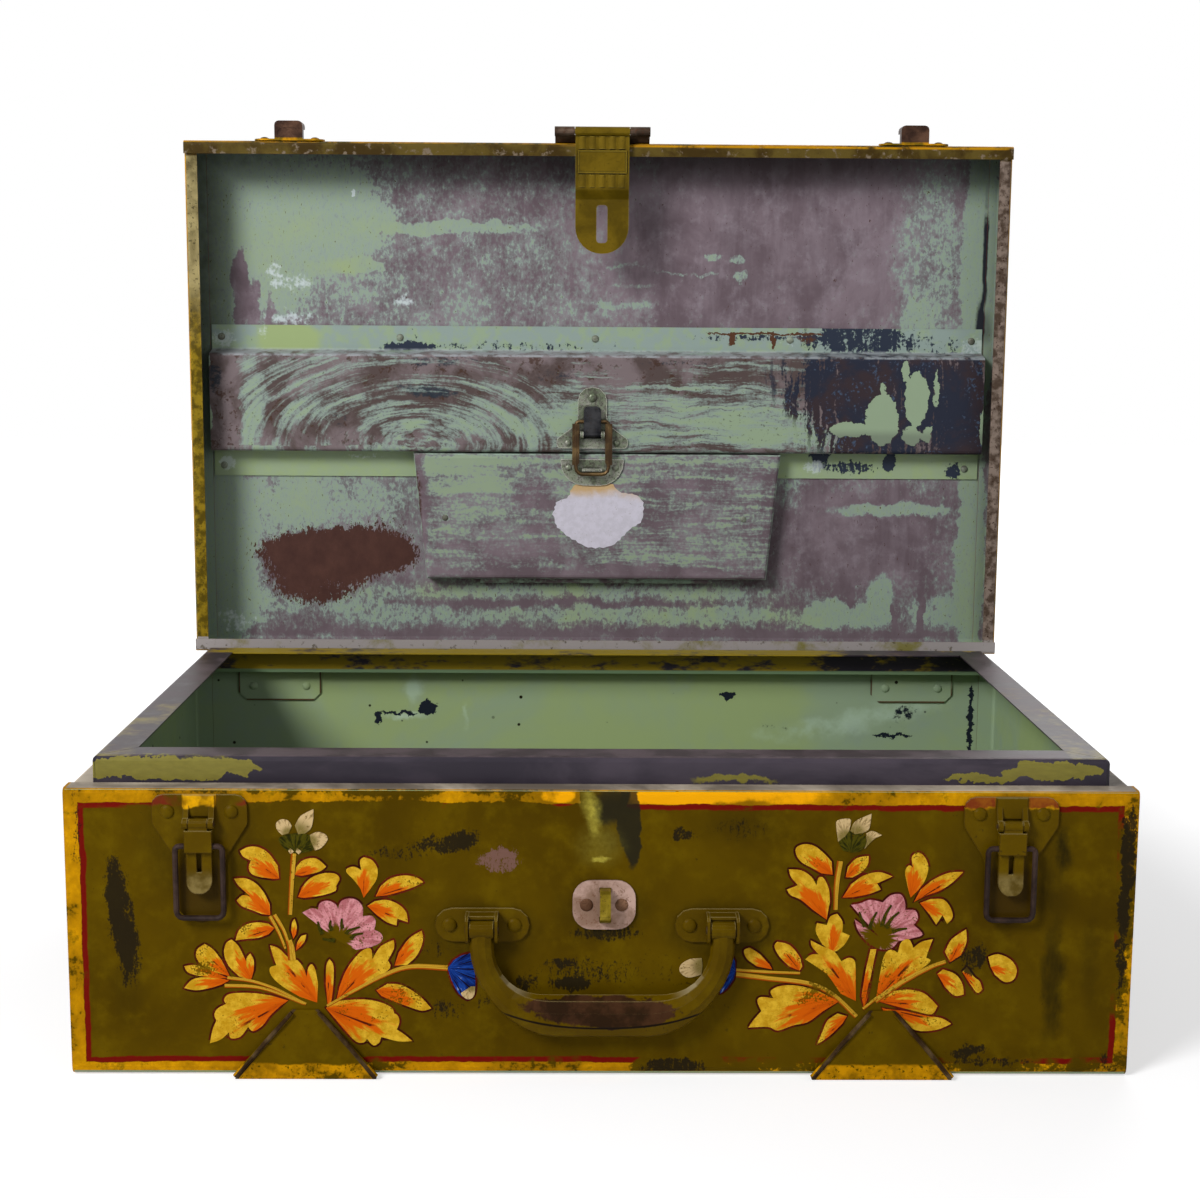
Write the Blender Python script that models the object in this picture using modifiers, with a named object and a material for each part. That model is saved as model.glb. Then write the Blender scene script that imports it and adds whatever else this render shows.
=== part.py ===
"""A metal travel trunk, standing open.

Metres, +Z up. The front faces -Y, and the origin is the centre of the base's flat bottom.
Folded sheet, hinges, draw latches, a hasp, a carrying handle and a latched pocket in the lid.
"""
import math

import bmesh
import bpy
from mathutils import Matrix, Vector

MM = 0.001
OBJECT_NAME = "metal_travel_trunk"

# Sheet body
TRUNK_WIDTH = 610 * MM
TRUNK_DEPTH = 380 * MM
BASE_HEIGHT = 170 * MM
LID_DEPTH = 40 * MM
SHEET = 1.0 * MM
GAP = 0.3 * MM
BOTTOM_BEND = 5 * MM
EDGE_BEND = 2.5 * MM
SHOULDER = 14 * MM
NECK_HEIGHT = 15.6 * MM
NECK_BAND = 21 * MM
NECK_SKIRT = 3 * MM
SEAT_GAP = 0.5 * MM
LID_RIM = 9.5 * MM

# Wedge feet
FOOT_INSET = 139 * MM
FOOT_SHIFT = -4 * MM
FOOT_BASE = 84 * MM
FOOT_TOP = 15 * MM
FOOT_HEIGHT = 40 * MM
FOOT_PROUD = 5 * MM
FOOT_EDGE = 0.9 * MM
FOOT_BEAD = 1.5 * MM

# Lid hinges
PLATE = 1.2 * MM
HINGE_INSET = 65 * MM
HINGE_OUT = 8 * MM
HINGE_WIDTH = 60 * MM
HINGE_LEAF = 32 * MM
LEAF_THICK = 1.5 * MM
HINGE_MIDDLE = 22 * MM
HINGE_KNUCKLE = 3.6 * MM
HINGE_PIN = 2.0 * MM
BACKING_WIDTH = 62 * MM
BACKING_HEIGHT = 23.5 * MM
BACKING_CHAMFER = 6 * MM

# Front draw latches
LATCH_INSET = 75 * MM
FITTING_SHIFT = 2 * MM
LATCH_DROP = 3 * MM
LATCH_WIDTH = 54 * MM
LATCH_EAR = 17 * MM
LATCH_NECK = 28 * MM
LATCH_HEIGHT = 75 * MM
LATCH_PIVOT_DROP = 19 * MM
LATCH_PIVOT_OUT = 5.6 * MM
LATCH_STRAP = 17.6 * MM
LATCH_LUG = 3.2 * MM
LATCH_KNUCKLE = 3.0 * MM
LATCH_PIN = 1.3 * MM
LEVER_WIDTH = 15.6 * MM
LEVER_BLOCK = 12.7 * MM
LEVER_THICK = 5 * MM
TONGUE_WIDTH = 14.4 * MM
TONGUE_LENGTH = 24 * MM
TONGUE_SLOT = 2.8 * MM
TONGUE_LIFT = 4 * MM
BAIL_DROP = 13 * MM
BAIL_WIDTH = 30 * MM
BAIL_REACH = 42 * MM
BAIL_WIRE = 1.65 * MM
BAIL_BEND = 4 * MM
BAIL_UP_ANGLE = math.radians(178)
CATCH_WIDTH = 51.5 * MM
CATCH_PLATE = 15 * MM
CATCH_ARCH_WIDTH = 20.5 * MM
CATCH_ARCH_HEIGHT = 14.5 * MM
CATCH_WALL = 1.8 * MM
CATCH_CROWN = 5 * MM
CATCH_CORNER = 3.2 * MM
CATCH_LIP = 7 * MM

# Lock hasp and staple
HASP_PIN_OUT = 8 * MM
HASP_PIN_DROP = 4 * MM
HASP_WIDTH = 40 * MM
HASP_ACROSS = 70 * MM
HASP_LENGTH = 88 * MM
HASP_THICK = 1.5 * MM
HASP_LEAF = 24 * MM
HASP_KNUCKLE = 3.5 * MM
HASP_PIN = 2.0 * MM
HASP_STEP = 4.5 * MM
HASP_FLUTES = 5
HASP_FLUTE = 5.2 * MM
HASP_BAND = 9 * MM
HASP_PANEL = 16.5 * MM
HASP_FRAME = 1.0 * MM
SLOT_WIDTH = 8 * MM
SLOT_LENGTH = 27.5 * MM
STAPLE_X = 1 * MM
STAPLE_Z = 103 * MM
STAPLE_PLATE_WIDTH = 36 * MM
STAPLE_PLATE_HEIGHT = 29 * MM
STAPLE_LOOP_X = 1.6 * MM
STAPLE_STRAP = 6.2 * MM
STAPLE_THICK = 2.6 * MM
STAPLE_OUT = 12 * MM
STAPLE_SPAN = 17.2 * MM

# Carrying handle
HANDLE_SPAN = 137 * MM
HANDLE_Z = 91 * MM
HANDLE_OUT = 9.5 * MM
HANDLE_DROP = 51 * MM
HANDLE_CORNER = 42 * MM
ARM_HALF = 6.8 * MM
GRIP_HALF = 12.6 * MM
HANDLE_FLATNESS = 0.62
HANDLE_PIN = 2.2 * MM
BRACKET_WIDTH = 54 * MM
BRACKET_HEIGHT = 20 * MM
CHEEK = 1.8 * MM
CHEEK_HEIGHT = 16 * MM

# Pocket in the lid, measured up from the lid's lower edge
RAIL_BOTTOM = 131 * MM
RAIL_FACE_LOW = 151 * MM
RAIL_FACE_HIGH = 224 * MM
RAIL_TOP = 246 * MM
RAIL_SLOPE = 3 * MM
RAIL_PROUD = 16 * MM
FLAP_BOTTOM = 53 * MM
FLAP_PROUD = 15 * MM
FLAP_TOP_WIDTH = 281 * MM
FLAP_BOTTOM_WIDTH = 262 * MM
FLAP_BEND = 3 * MM
FLAP_CLEARANCE = 1 * MM
FLAP_KNUCKLE = 2.4 * MM
FLAP_PIN = 1.2 * MM
FLAP_PIN_DROP = 1.8 * MM
FLAP_HINGE_MIDDLE = 120 * MM
FLAP_HINGE_WIDTH = 180 * MM
FLAP_LEAF = 18 * MM

# Pocket's draw latch
POCKET_LATCH_X = -4 * MM
POCKET_PLATE_WIDTH = 54 * MM
POCKET_PLATE_TOP = 22 * MM
POCKET_PLATE_HEIGHT = 46.5 * MM
POCKET_PLATE_EAR = 7 * MM
POCKET_PLATE_NECK = 19 * MM
POCKET_PIVOT_UP = 13 * MM
POCKET_PIVOT_OUT = 5.2 * MM
POCKET_LEVER_WIDTH = 13 * MM
POCKET_LEVER_LENGTH = 21.5 * MM
POCKET_LEVER_THICK = 4 * MM
POCKET_KNUCKLE = 3.0 * MM
POCKET_PIN = 1.3 * MM
POCKET_LUG = 2.4 * MM
POCKET_BAIL_UP = 10 * MM
POCKET_BAIL_REACH = 40 * MM
POCKET_BAIL_WIDTH = 28 * MM
POCKET_BAIL_WIRE = 1.6 * MM
POCKET_STRAP_OUT = 1.2 * MM
POCKET_STRAP_ENDS = 7 * MM
POCKET_LEDGE = 15 * MM
POCKET_LEDGE_THICK = 1.8 * MM
POCKET_LEDGE_ROOM = 0.8 * MM
POCKET_CATCH_WIDTH = 48 * MM
POCKET_CATCH_HEIGHT = 20 * MM

# Places worked out from the sizes
FRONT = -TRUNK_DEPTH / 2
BACK = TRUNK_DEPTH / 2
HINGE_Y = BACK + HINGE_OUT
HINGE_Z = BASE_HEIGHT + SEAT_GAP
RIM_Y = HINGE_Y
PANEL_OUT = RIM_Y + LID_DEPTH
PANEL_IN = PANEL_OUT - SHEET
LID_BOTTOM = HINGE_Z + HINGE_OUT
LID_TOP = LID_BOTTOM + TRUNK_DEPTH
FOOT_X = TRUNK_WIDTH / 2 - FOOT_INSET
HINGE_X = TRUNK_WIDTH / 2 - HINGE_INSET
LATCH_X = TRUNK_WIDTH / 2 - LATCH_INSET
SIDES = (("left", -1), ("right", 1))

# Drawing planes: a profile in YZ pulled along X, and an outline in XZ pulled along Y
PROFILE_YZ = Matrix(((0, 0, 1, 0), (1, 0, 0, 0), (0, 1, 0, 0), (0, 0, 0, 1)))
OUTLINE_XZ = Matrix(((1, 0, 0, 0), (0, 0, -1, 0), (0, 1, 0, 0), (0, 0, 0, 1)))


# Scene, materials and naming

def start_scene():
    """Empty the scene and make one collection for the parts and one for the cutters."""
    for obj in list(bpy.data.objects):
        bpy.data.objects.remove(obj, do_unlink=True)
    parts = bpy.data.collections.new(OBJECT_NAME)
    cutters = bpy.data.collections.new("cutters")
    bpy.context.scene.collection.children.link(parts)
    bpy.context.scene.collection.children.link(cutters)
    return parts, cutters


PARTS, CUTTERS = start_scene()


def finish(name, colour, roughness, metallic):
    """A plain Principled material."""
    material = bpy.data.materials.new(name)
    material.use_nodes = True
    shader = material.node_tree.nodes["Principled BSDF"]
    shader.inputs["Base Color"].default_value = (*colour, 1.0)
    shader.inputs["Roughness"].default_value = roughness
    shader.inputs["Metallic"].default_value = metallic
    return material


OLIVE = finish("olive_paint", (0.105, 0.070, 0.004), 0.45, 0.0)
NECK_PAINT = finish("neck_paint", (0.060, 0.055, 0.050), 0.5, 0.0)
INNER_PAINT = finish("inner_green_paint", (0.22, 0.30, 0.19), 0.6, 0.0)
RAIL_PAINT = finish("rail_paint", (0.19, 0.24, 0.17), 0.6, 0.0)
DARK_STEEL = finish("dark_steel", (0.070, 0.050, 0.045), 0.5, 0.8)
PLATED_STEEL = finish("plated_steel", (0.30, 0.29, 0.25), 0.4, 0.8)
BARE_STEEL = finish("bare_steel", (0.40, 0.33, 0.31), 0.45, 0.7)


def axis_empty(name, x, y, z, parent=None):
    """An empty on a joint's axis, for the pieces that turn about it."""
    empty = bpy.data.objects.new(name, None)
    PARTS.objects.link(empty)
    empty.location = (x, y, z)
    bpy.context.view_layer.update()
    if parent:
        carry(empty, parent)
    return empty


def carry(obj, parent):
    """Parent an object where it stands."""
    bpy.context.view_layer.update()
    obj.parent = parent
    obj.matrix_parent_inverse = parent.matrix_world.inverted()


def name_part(obj, name, material, parent=None):
    """Give a finished piece its node name and material, and put it on its joint."""
    obj.name = name
    obj.data.name = name
    obj.data.materials.clear()
    obj.data.materials.append(material)
    obj.data.shade_smooth()
    obj.data.set_sharp_from_angle(angle=math.radians(35))
    if parent:
        carry(obj, parent)
    return obj


# Shapes

def rounded(points, radius, steps=3, closed=False):
    """A polyline's points with each corner turned into an arc. Radius is one value, or one a corner."""
    points = [Vector(p) for p in points]
    count = len(points)
    radii = [radius] * count if isinstance(radius, float) else list(radius)
    path = []
    for i, corner in enumerate(points):
        if (not closed and i in (0, count - 1)) or radii[i] == 0:
            path.append(corner)
            continue
        to_last = (points[i - 1] - corner).normalized()
        to_next = (points[(i + 1) % count] - corner).normalized()
        half = to_last.angle(to_next) / 2
        centre = corner + (to_last + to_next).normalized() * (radii[i] / math.sin(half))
        first = corner + to_last * (radii[i] / math.tan(half)) - centre
        last = corner + to_next * (radii[i] / math.tan(half)) - centre
        sweep = math.pi - 2 * half
        for step in range(steps + 1):
            part = step / steps
            arm = first * math.sin((1 - part) * sweep) + last * math.sin(part * sweep)
            path.append(centre + arm / math.sin(sweep))
    return path


def draw_curve(points, closed, flat):
    """A straight-sided curve object in the parts collection."""
    curve = bpy.data.curves.new("drawn", "CURVE")
    curve.dimensions = "2D" if flat else "3D"
    curve.resolution_u = 1
    curve.render_resolution_u = 0
    spline = curve.splines.new("POLY")
    spline.points.add(len(points) - 1)
    for place, point in zip(spline.points, points):
        place.co = (*Vector(point).to_3d(), 1.0)
    spline.use_cyclic_u = closed
    obj = bpy.data.objects.new("drawn", curve)
    PARTS.objects.link(obj)
    return obj


def as_mesh(drawn, matrix):
    """Turn a curve object into a closed mesh object, placed by a matrix."""
    bpy.context.view_layer.update()
    evaluated = drawn.evaluated_get(bpy.context.evaluated_depsgraph_get())
    mesh = bpy.data.meshes.new_from_object(evaluated)
    mesh.transform(matrix)
    edit = bmesh.new()
    edit.from_mesh(mesh)
    bmesh.ops.remove_doubles(edit, verts=edit.verts, dist=0.002 * MM)
    bmesh.ops.recalc_face_normals(edit, faces=edit.faces)
    edit.to_mesh(mesh)
    edit.free()
    bpy.data.objects.remove(drawn, do_unlink=True)
    obj = bpy.data.objects.new("shape", mesh)
    PARTS.objects.link(obj)
    return obj


def outline(points, low, high, plane=OUTLINE_XZ):
    """A flat closed outline with thickness, between two distances along the pull of its plane."""
    drawn = draw_curve(points, closed=True, flat=True)
    drawn.data.fill_mode = "BOTH"
    drawn.data.extrude = (high - low) / 2
    return as_mesh(drawn, plane @ Matrix.Translation((0, 0, (low + high) / 2)))


def plate(points, front, thickness):
    """An upright plate: an outline in XZ whose outer face is at y = front."""
    return outline(points, -front - thickness, -front)


def folded(path, x_low, x_high, thickness=SHEET):
    """A sheet folded along a path in YZ, the middle of its thickness, between two places in X."""
    drawn = draw_curve(path, closed=False, flat=True)
    drawn.data.fill_mode = "NONE"
    drawn.data.extrude = (x_high - x_low) / 2
    obj = as_mesh(drawn, PROFILE_YZ @ Matrix.Translation((0, 0, (x_low + x_high) / 2)))
    thicken(obj, thickness)
    return obj


def thicken(obj, thickness):
    """Give an open surface its sheet thickness, half to each side."""
    solid = obj.modifiers.new("sheet", "SOLIDIFY")
    solid.thickness = thickness
    solid.offset = 0
    solid.use_even_offset = True


def wire(points, radius, closed=False):
    """A bent wire along points in space."""
    drawn = draw_curve(points, closed=closed, flat=False)
    drawn.data.bevel_depth = radius
    drawn.data.bevel_resolution = 2
    drawn.data.use_fill_caps = True
    return as_mesh(drawn, Matrix())


def rod(radius, x_low, x_high, y, z, sides=16):
    """A round bar along X."""
    bpy.ops.mesh.primitive_cylinder_add(
        vertices=sides, radius=radius, depth=x_high - x_low,
        location=((x_low + x_high) / 2, y, z), rotation=(0, math.pi / 2, 0))
    return settle(bpy.context.object)


def block(low, high):
    """A box between two corners."""
    low, high = Vector(low), Vector(high)
    bpy.ops.mesh.primitive_cube_add(size=1, location=(low + high) / 2)
    bpy.context.object.scale = high - low
    return settle(bpy.context.object)


def settle(obj):
    """Apply an object's place to its mesh and keep it with the parts."""
    bpy.context.view_layer.update()
    obj.data.transform(obj.matrix_world)
    obj.matrix_world = Matrix()
    for collection in list(obj.users_collection):
        collection.objects.unlink(obj)
    PARTS.objects.link(obj)
    return obj


def combine(obj, others, operation):
    """Join other shapes to a piece, or cut it with them, and keep them as hidden guides."""
    for other in others:
        modifier = obj.modifiers.new(operation.lower(), "BOOLEAN")
        modifier.operation = operation
        modifier.object = other
        PARTS.objects.unlink(other)
        CUTTERS.objects.link(other)
        other.hide_render = True
        other.display_type = "WIRE"
    return obj


def join(obj, *others):
    return combine(obj, others, "UNION")


def cut(obj, *others):
    return combine(obj, others, "DIFFERENCE")


def outer_spans(middle, width):
    """The two stretches of a hinge outside its middle knuckle, with running room between."""
    return ((-width / 2, -middle / 2 - GAP), (middle / 2 + GAP, width / 2))


def knuckles(obj, radius, x, y, z, spans):
    """Roll a leaf's edge into knuckles over stretches of X."""
    return join(obj, *(rod(radius, x + low, x + high, y, z) for low, high in spans))


def running_room(obj, radius, x, y, z, spans):
    """Cut a leaf back where the other leaf's knuckles turn."""
    room = radius + 2 * GAP
    return cut(obj, *(rod(room, x + low - GAP, x + high + GAP, y, z) for low, high in spans))


def pin_hole(obj, radius, x, y, z, width):
    """Drill a hinge for its pin."""
    return cut(obj, rod(radius + GAP, x - width, x + width, y, z))


# Base

def base_wrap():
    """One sheet folded into front wall, bottom, back wall and both long shoulders."""
    wall = TRUNK_DEPTH / 2 - SHEET / 2
    inner = TRUNK_DEPTH / 2 - SHOULDER + GAP
    top = BASE_HEIGHT - SHEET / 2
    corners = [(-inner, top), (-wall, top), (-wall, SHEET / 2), (wall, SHEET / 2), (wall, top), (inner, top)]
    radii = [0, EDGE_BEND, BOTTOM_BEND, BOTTOM_BEND, EDGE_BEND, 0]
    sheet = folded(rounded(corners, radii), -TRUNK_WIDTH / 2, TRUNK_WIDTH / 2)
    name_part(sheet, "base_wrap", OLIVE)


def end_pan(name, sign, y_span, z_span, flange, material, parent=None):
    """An end wall: a pressed pan whose turned flanges lap inside the folded sheet."""
    tuck = SHEET + GAP + SHEET / 2
    outer = TRUNK_WIDTH / 2 - SHEET / 2
    inner = TRUNK_WIDTH / 2 - flange
    x_span = sorted((sign * outer, sign * inner))
    pan = block((x_span[0], y_span[0] + tuck, z_span[0] + tuck), (x_span[1], y_span[1] - tuck, z_span[1] - tuck))
    edit = bmesh.new()
    edit.from_mesh(pan.data)
    along = [e for e in edit.edges if abs(e.verts[0].co.x - e.verts[1].co.x) > MM]
    bmesh.ops.bevel(edit, geom=along, offset=BOTTOM_BEND, segments=3, profile=0.5, affect="EDGES")
    wall = [e for e in edit.edges if all(abs(v.co.x - sign * outer) < 0.01 * MM for v in e.verts)]
    bmesh.ops.bevel(edit, geom=wall, offset=EDGE_BEND, segments=3, profile=0.5, affect="EDGES")
    mouth = [f for f in edit.faces if all(abs(v.co.x - sign * inner) < 0.01 * MM for v in f.verts)]
    bmesh.ops.delete(edit, geom=mouth, context="FACES")
    edit.to_mesh(pan.data)
    edit.free()
    thicken(pan, SHEET)
    name_part(pan, name, material, parent)


def neck_strip(name, length, reach, setback, turn):
    """A mitred angle strip of the raised rim, drawn along the front and turned to its side."""
    face = -reach + SHOULDER + SHEET / 2
    top = BASE_HEIGHT + NECK_HEIGHT - SHEET / 2
    corners = [(face, BASE_HEIGHT - NECK_SKIRT), (face, top), (face + NECK_BAND, top)]
    half = length / 2 - SHOULDER - setback
    strip = folded(rounded(corners, EDGE_BEND), -half, half)
    for vertex in strip.data.vertices:
        vertex.co.x -= math.copysign(vertex.co.y - face, vertex.co.x)
    strip.data.transform(Matrix.Rotation(turn, 4, "Z"))
    name_part(strip, name, NECK_PAINT)


def neck():
    """Four strips: the side strips run through at the corners, and the long ones butt between them."""
    through = 0.4 * GAP
    between = SHEET + GAP
    half_depth, half_width = TRUNK_DEPTH / 2, TRUNK_WIDTH / 2
    neck_strip("neck_front", TRUNK_WIDTH, half_depth, between, 0)
    neck_strip("neck_back", TRUNK_WIDTH, half_depth, between, math.pi)
    neck_strip("neck_left", TRUNK_DEPTH, half_width, through, -math.pi / 2)
    neck_strip("neck_right", TRUNK_DEPTH, half_width, through, math.pi / 2)


def wedge_foot(name, x, facing):
    """A pressed foot: a wedge that flares out at the bottom edge, with beads on its slanting edges."""
    half_base, half_top = FOOT_BASE / 2 - FOOT_BEAD, FOOT_TOP / 2
    trapezoid = [(-half_base, 0), (half_base, 0), (half_top, FOOT_HEIGHT), (-half_top, FOOT_HEIGHT)]
    face = FRONT - GAP
    foot = plate(trapezoid, face - FOOT_PROUD, FOOT_PROUD)

    def proud(z):
        return FOOT_PROUD + (FOOT_EDGE - FOOT_PROUD) * z / FOOT_HEIGHT

    for vertex in foot.data.vertices:
        if vertex.co.y < face - FOOT_PROUD / 2:
            vertex.co.y = face - proud(vertex.co.z)
    beads = []
    for _, sign in SIDES:
        ends = []
        for x_edge, z in ((half_base, FOOT_BEAD), (half_top, FOOT_HEIGHT - FOOT_BEAD)):
            ends.append((sign * x_edge, face - max(proud(z), FOOT_BEAD + GAP), z))
        beads.append(wire(ends, FOOT_BEAD))
    place = Matrix.Translation((x, 0, 0)) @ Matrix.Rotation(facing, 4, "Z")
    for shape in (foot, *beads):
        shape.data.transform(place)
    name_part(join(foot, *beads), name, OLIVE)


def hinge_backing(name, x):
    """The plate inside the back wall that the hinge rivets clench on, with its lower corners cut off."""
    half = BACKING_WIDTH / 2
    top = BASE_HEIGHT - SHEET - EDGE_BEND
    low = top - BACKING_HEIGHT
    points = [(half, top), (-half, top), (-half, low + BACKING_CHAMFER), (-half + BACKING_CHAMFER, low),
              (half - BACKING_CHAMFER, low), (half, low + BACKING_CHAMFER)]
    inside = BACK - SHEET - GAP
    backing = plate([(x + px, pz) for px, pz in points], inside - PLATE, PLATE)
    name_part(backing, name, INNER_PAINT)


# Lid and its hinges

def lid_wrap(lid_axis):
    """One sheet folded into the panel, the front and back walls and their turned-in rims."""
    rim = RIM_Y + SHEET / 2
    panel = PANEL_OUT - SHEET / 2
    low, high = LID_BOTTOM + SHEET / 2, LID_TOP - SHEET / 2
    corners = [(rim, LID_BOTTOM + LID_RIM), (rim, low), (panel, low), (panel, high), (rim, high),
               (rim, LID_TOP - LID_RIM)]
    radii = [0, EDGE_BEND, BOTTOM_BEND, BOTTOM_BEND, EDGE_BEND, 0]
    sheet = folded(rounded(corners, radii), -TRUNK_WIDTH / 2, TRUNK_WIDTH / 2)
    name_part(sheet, "lid_wrap", INNER_PAINT, lid_axis)


def lid_hinge(side, x, lid_axis):
    """A cranked butt hinge behind the trunk: a leaf on the base, a leaf on the lid, and a pin."""
    half = HINGE_WIDTH / 2 - GAP
    off = GAP + LEAF_THICK / 2
    crank = HINGE_OUT - off
    outer = outer_spans(HINGE_MIDDLE, HINGE_WIDTH)
    middle = ((-HINGE_MIDDLE / 2, HINGE_MIDDLE / 2),)
    root = HINGE_KNUCKLE * 0.5

    base_face = BACK + off
    base_path = [(base_face, HINGE_Z - HINGE_LEAF), (base_face, HINGE_Z - crank), (HINGE_Y - root, HINGE_Z - root)]
    base_leaf = folded(rounded(base_path, EDGE_BEND), x - half, x + half, LEAF_THICK)
    knuckles(base_leaf, HINGE_KNUCKLE, x, HINGE_Y, HINGE_Z, outer)
    running_room(base_leaf, HINGE_KNUCKLE, x, HINGE_Y, HINGE_Z, middle)
    pin_hole(base_leaf, HINGE_PIN, x, HINGE_Y, HINGE_Z, HINGE_WIDTH)
    name_part(base_leaf, f"hinge_base_leaf_{side}", DARK_STEEL)

    lid_face = LID_BOTTOM - off
    lid_path = [(HINGE_Y + HINGE_LEAF, lid_face), (HINGE_Y + crank, lid_face), (HINGE_Y + root, HINGE_Z + root)]
    lid_leaf = folded(rounded(lid_path, EDGE_BEND), x - half, x + half, LEAF_THICK)
    knuckles(lid_leaf, HINGE_KNUCKLE, x, HINGE_Y, HINGE_Z, middle)
    running_room(lid_leaf, HINGE_KNUCKLE, x, HINGE_Y, HINGE_Z, outer)
    pin_hole(lid_leaf, HINGE_PIN, x, HINGE_Y, HINGE_Z, HINGE_WIDTH)
    name_part(lid_leaf, f"hinge_lid_leaf_{side}", DARK_STEEL, lid_axis)

    pin = rod(HINGE_PIN, x - HINGE_WIDTH / 2, x + HINGE_WIDTH / 2, HINGE_Y, HINGE_Z, sides=12)
    name_part(pin, f"hinge_pin_{side}", DARK_STEEL)


# Front draw latches

def latch(side, x, lid_axis):
    """Bell-shaped plate with pivot lugs, a lever on a pin, and a wire bail hanging from the lever."""
    top = BASE_HEIGHT - LATCH_DROP
    pivot_y, pivot_z = FRONT - LATCH_PIVOT_OUT, BASE_HEIGHT - LATCH_PIVOT_DROP
    ear, neck_half = LATCH_WIDTH / 2, LATCH_NECK / 2
    low = top - LATCH_HEIGHT
    slope = top - LATCH_EAR - (ear - neck_half) * 1.6
    bell = [(ear, top), (-ear, top), (-ear, top - LATCH_EAR), (-neck_half, slope), (-neck_half, low),
            (neck_half, low), (neck_half, slope), (ear, top - LATCH_EAR)]
    ear_round = LATCH_EAR * 0.4
    radii = [ear_round, ear_round, ear_round, LATCH_EAR * 0.5, neck_half * 0.95, neck_half * 0.95,
             LATCH_EAR * 0.5, ear_round]
    face = FRONT - GAP - PLATE
    backplate = plate([(x + p.x, p.y) for p in rounded(bell, radii, closed=True)], face, PLATE)
    lug_outer = LATCH_STRAP / 2
    lugs = ((-lug_outer, -lug_outer + LATCH_LUG), (lug_outer - LATCH_LUG, lug_outer))
    strap_low = pivot_z + LATCH_KNUCKLE + 2 * GAP
    sunk = face + PLATE / 2
    strap_top = top - GAP
    strap = block((x - lug_outer, face - PLATE, strap_low), (x + lug_outer, sunk, strap_top))
    webs = [block((x + a, pivot_y, pivot_z - LATCH_KNUCKLE * 0.7), (x + b, sunk, strap_top - GAP))
            for a, b in lugs]
    for web in webs:
        for vertex in web.data.vertices:
            if vertex.co.y < face - PLATE and vertex.co.z > pivot_z:
                vertex.co.z = pivot_z + LATCH_KNUCKLE * 0.7
    join(backplate, strap, *webs)
    knuckles(backplate, LATCH_KNUCKLE, x, pivot_y, pivot_z, lugs)
    pin_hole(backplate, LATCH_PIN, x, pivot_y, pivot_z, LATCH_STRAP)
    name_part(backplate, f"latch_plate_{side}", OLIVE)
    pin = rod(LATCH_PIN, x - lug_outer - GAP, x + lug_outer + GAP, pivot_y, pivot_z, sides=12)
    name_part(pin, f"latch_pin_{side}", DARK_STEEL)

    lever_axis = axis_empty(f"latch_lever_axis_{side}", x, pivot_y, pivot_z)
    middle = lug_outer - LATCH_LUG - GAP
    block_top = pivot_z - LATCH_KNUCKLE - 2 * GAP
    block_low = block_top - LEVER_BLOCK
    half = LEVER_WIDTH / 2
    back_y = pivot_y + LEVER_THICK / 2
    front_y = back_y - LEVER_THICK
    lever = block((x - half, front_y, block_low), (x + half, back_y, block_top))
    neck = block((x - middle, front_y + GAP, block_top - GAP), (x + middle, back_y - GAP, pivot_z))
    tongue_half = TONGUE_WIDTH / 2
    tongue_low = block_low - TONGUE_LENGTH
    tongue_back = back_y - GAP
    tongue_path = [(tongue_back - PLATE, block_low + PLATE), (tongue_back - PLATE, tongue_low + 2 * TONGUE_LIFT),
                   (tongue_back - TONGUE_LIFT, tongue_low)]
    tongue_bend = 2 * TONGUE_LIFT
    tongue_wide = tongue_half + GAP
    tongue = folded(rounded(tongue_path, tongue_bend), x - tongue_wide, x + tongue_wide, 1.5 * PLATE)
    tongue_top = block_low + 2 * PLATE
    tip = [(x - tongue_half, tongue_top), (x - tongue_half, tongue_low), (x + tongue_half, tongue_low),
           (x + tongue_half, tongue_top)]
    round_tip = tongue_half * 0.95
    tip_trim = plate(rounded(tip, [0, round_tip, round_tip, 0], steps=5, closed=True),
                     front_y - 2 * TONGUE_LIFT, 4 * TONGUE_LIFT)
    combine(tongue, [tip_trim], "INTERSECT")
    slot_half = TONGUE_SLOT / 2
    cut(tongue, block((x - slot_half, front_y - 2 * TONGUE_LIFT, tongue_low + TONGUE_LENGTH / 2),
                      (x + slot_half, back_y + PLATE, block_low - GAP)))
    join(lever, neck, tongue)
    knuckles(lever, LATCH_KNUCKLE, x, pivot_y, pivot_z, ((-middle, middle),))
    pin_hole(lever, LATCH_PIN, x, pivot_y, pivot_z, LATCH_STRAP)
    bail_z = pivot_z - BAIL_DROP
    pin_hole(lever, BAIL_WIRE, x, pivot_y, bail_z, LEVER_WIDTH)
    name_part(lever, f"latch_lever_{side}", OLIVE, lever_axis)

    bail_axis = axis_empty(f"latch_bail_axis_{side}", x, pivot_y, bail_z, lever_axis)
    leg = BAIL_WIDTH / 2 - BAIL_WIRE
    end = half * 0.4
    low_z = bail_z - BAIL_REACH
    loop = [(x - end, pivot_y, bail_z), (x - leg, pivot_y, bail_z), (x - leg, pivot_y, low_z),
            (x + leg, pivot_y, low_z), (x + leg, pivot_y, bail_z), (x + end, pivot_y, bail_z)]
    tight = 1.6 * BAIL_WIRE
    bail = wire(rounded(loop, [0, tight, BAIL_BEND, BAIL_BEND, tight, 0]), BAIL_WIRE)
    name_part(bail, f"latch_bail_{side}", DARK_STEEL, bail_axis)

    lid_catch(side, x, bail_z, lid_axis)


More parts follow.
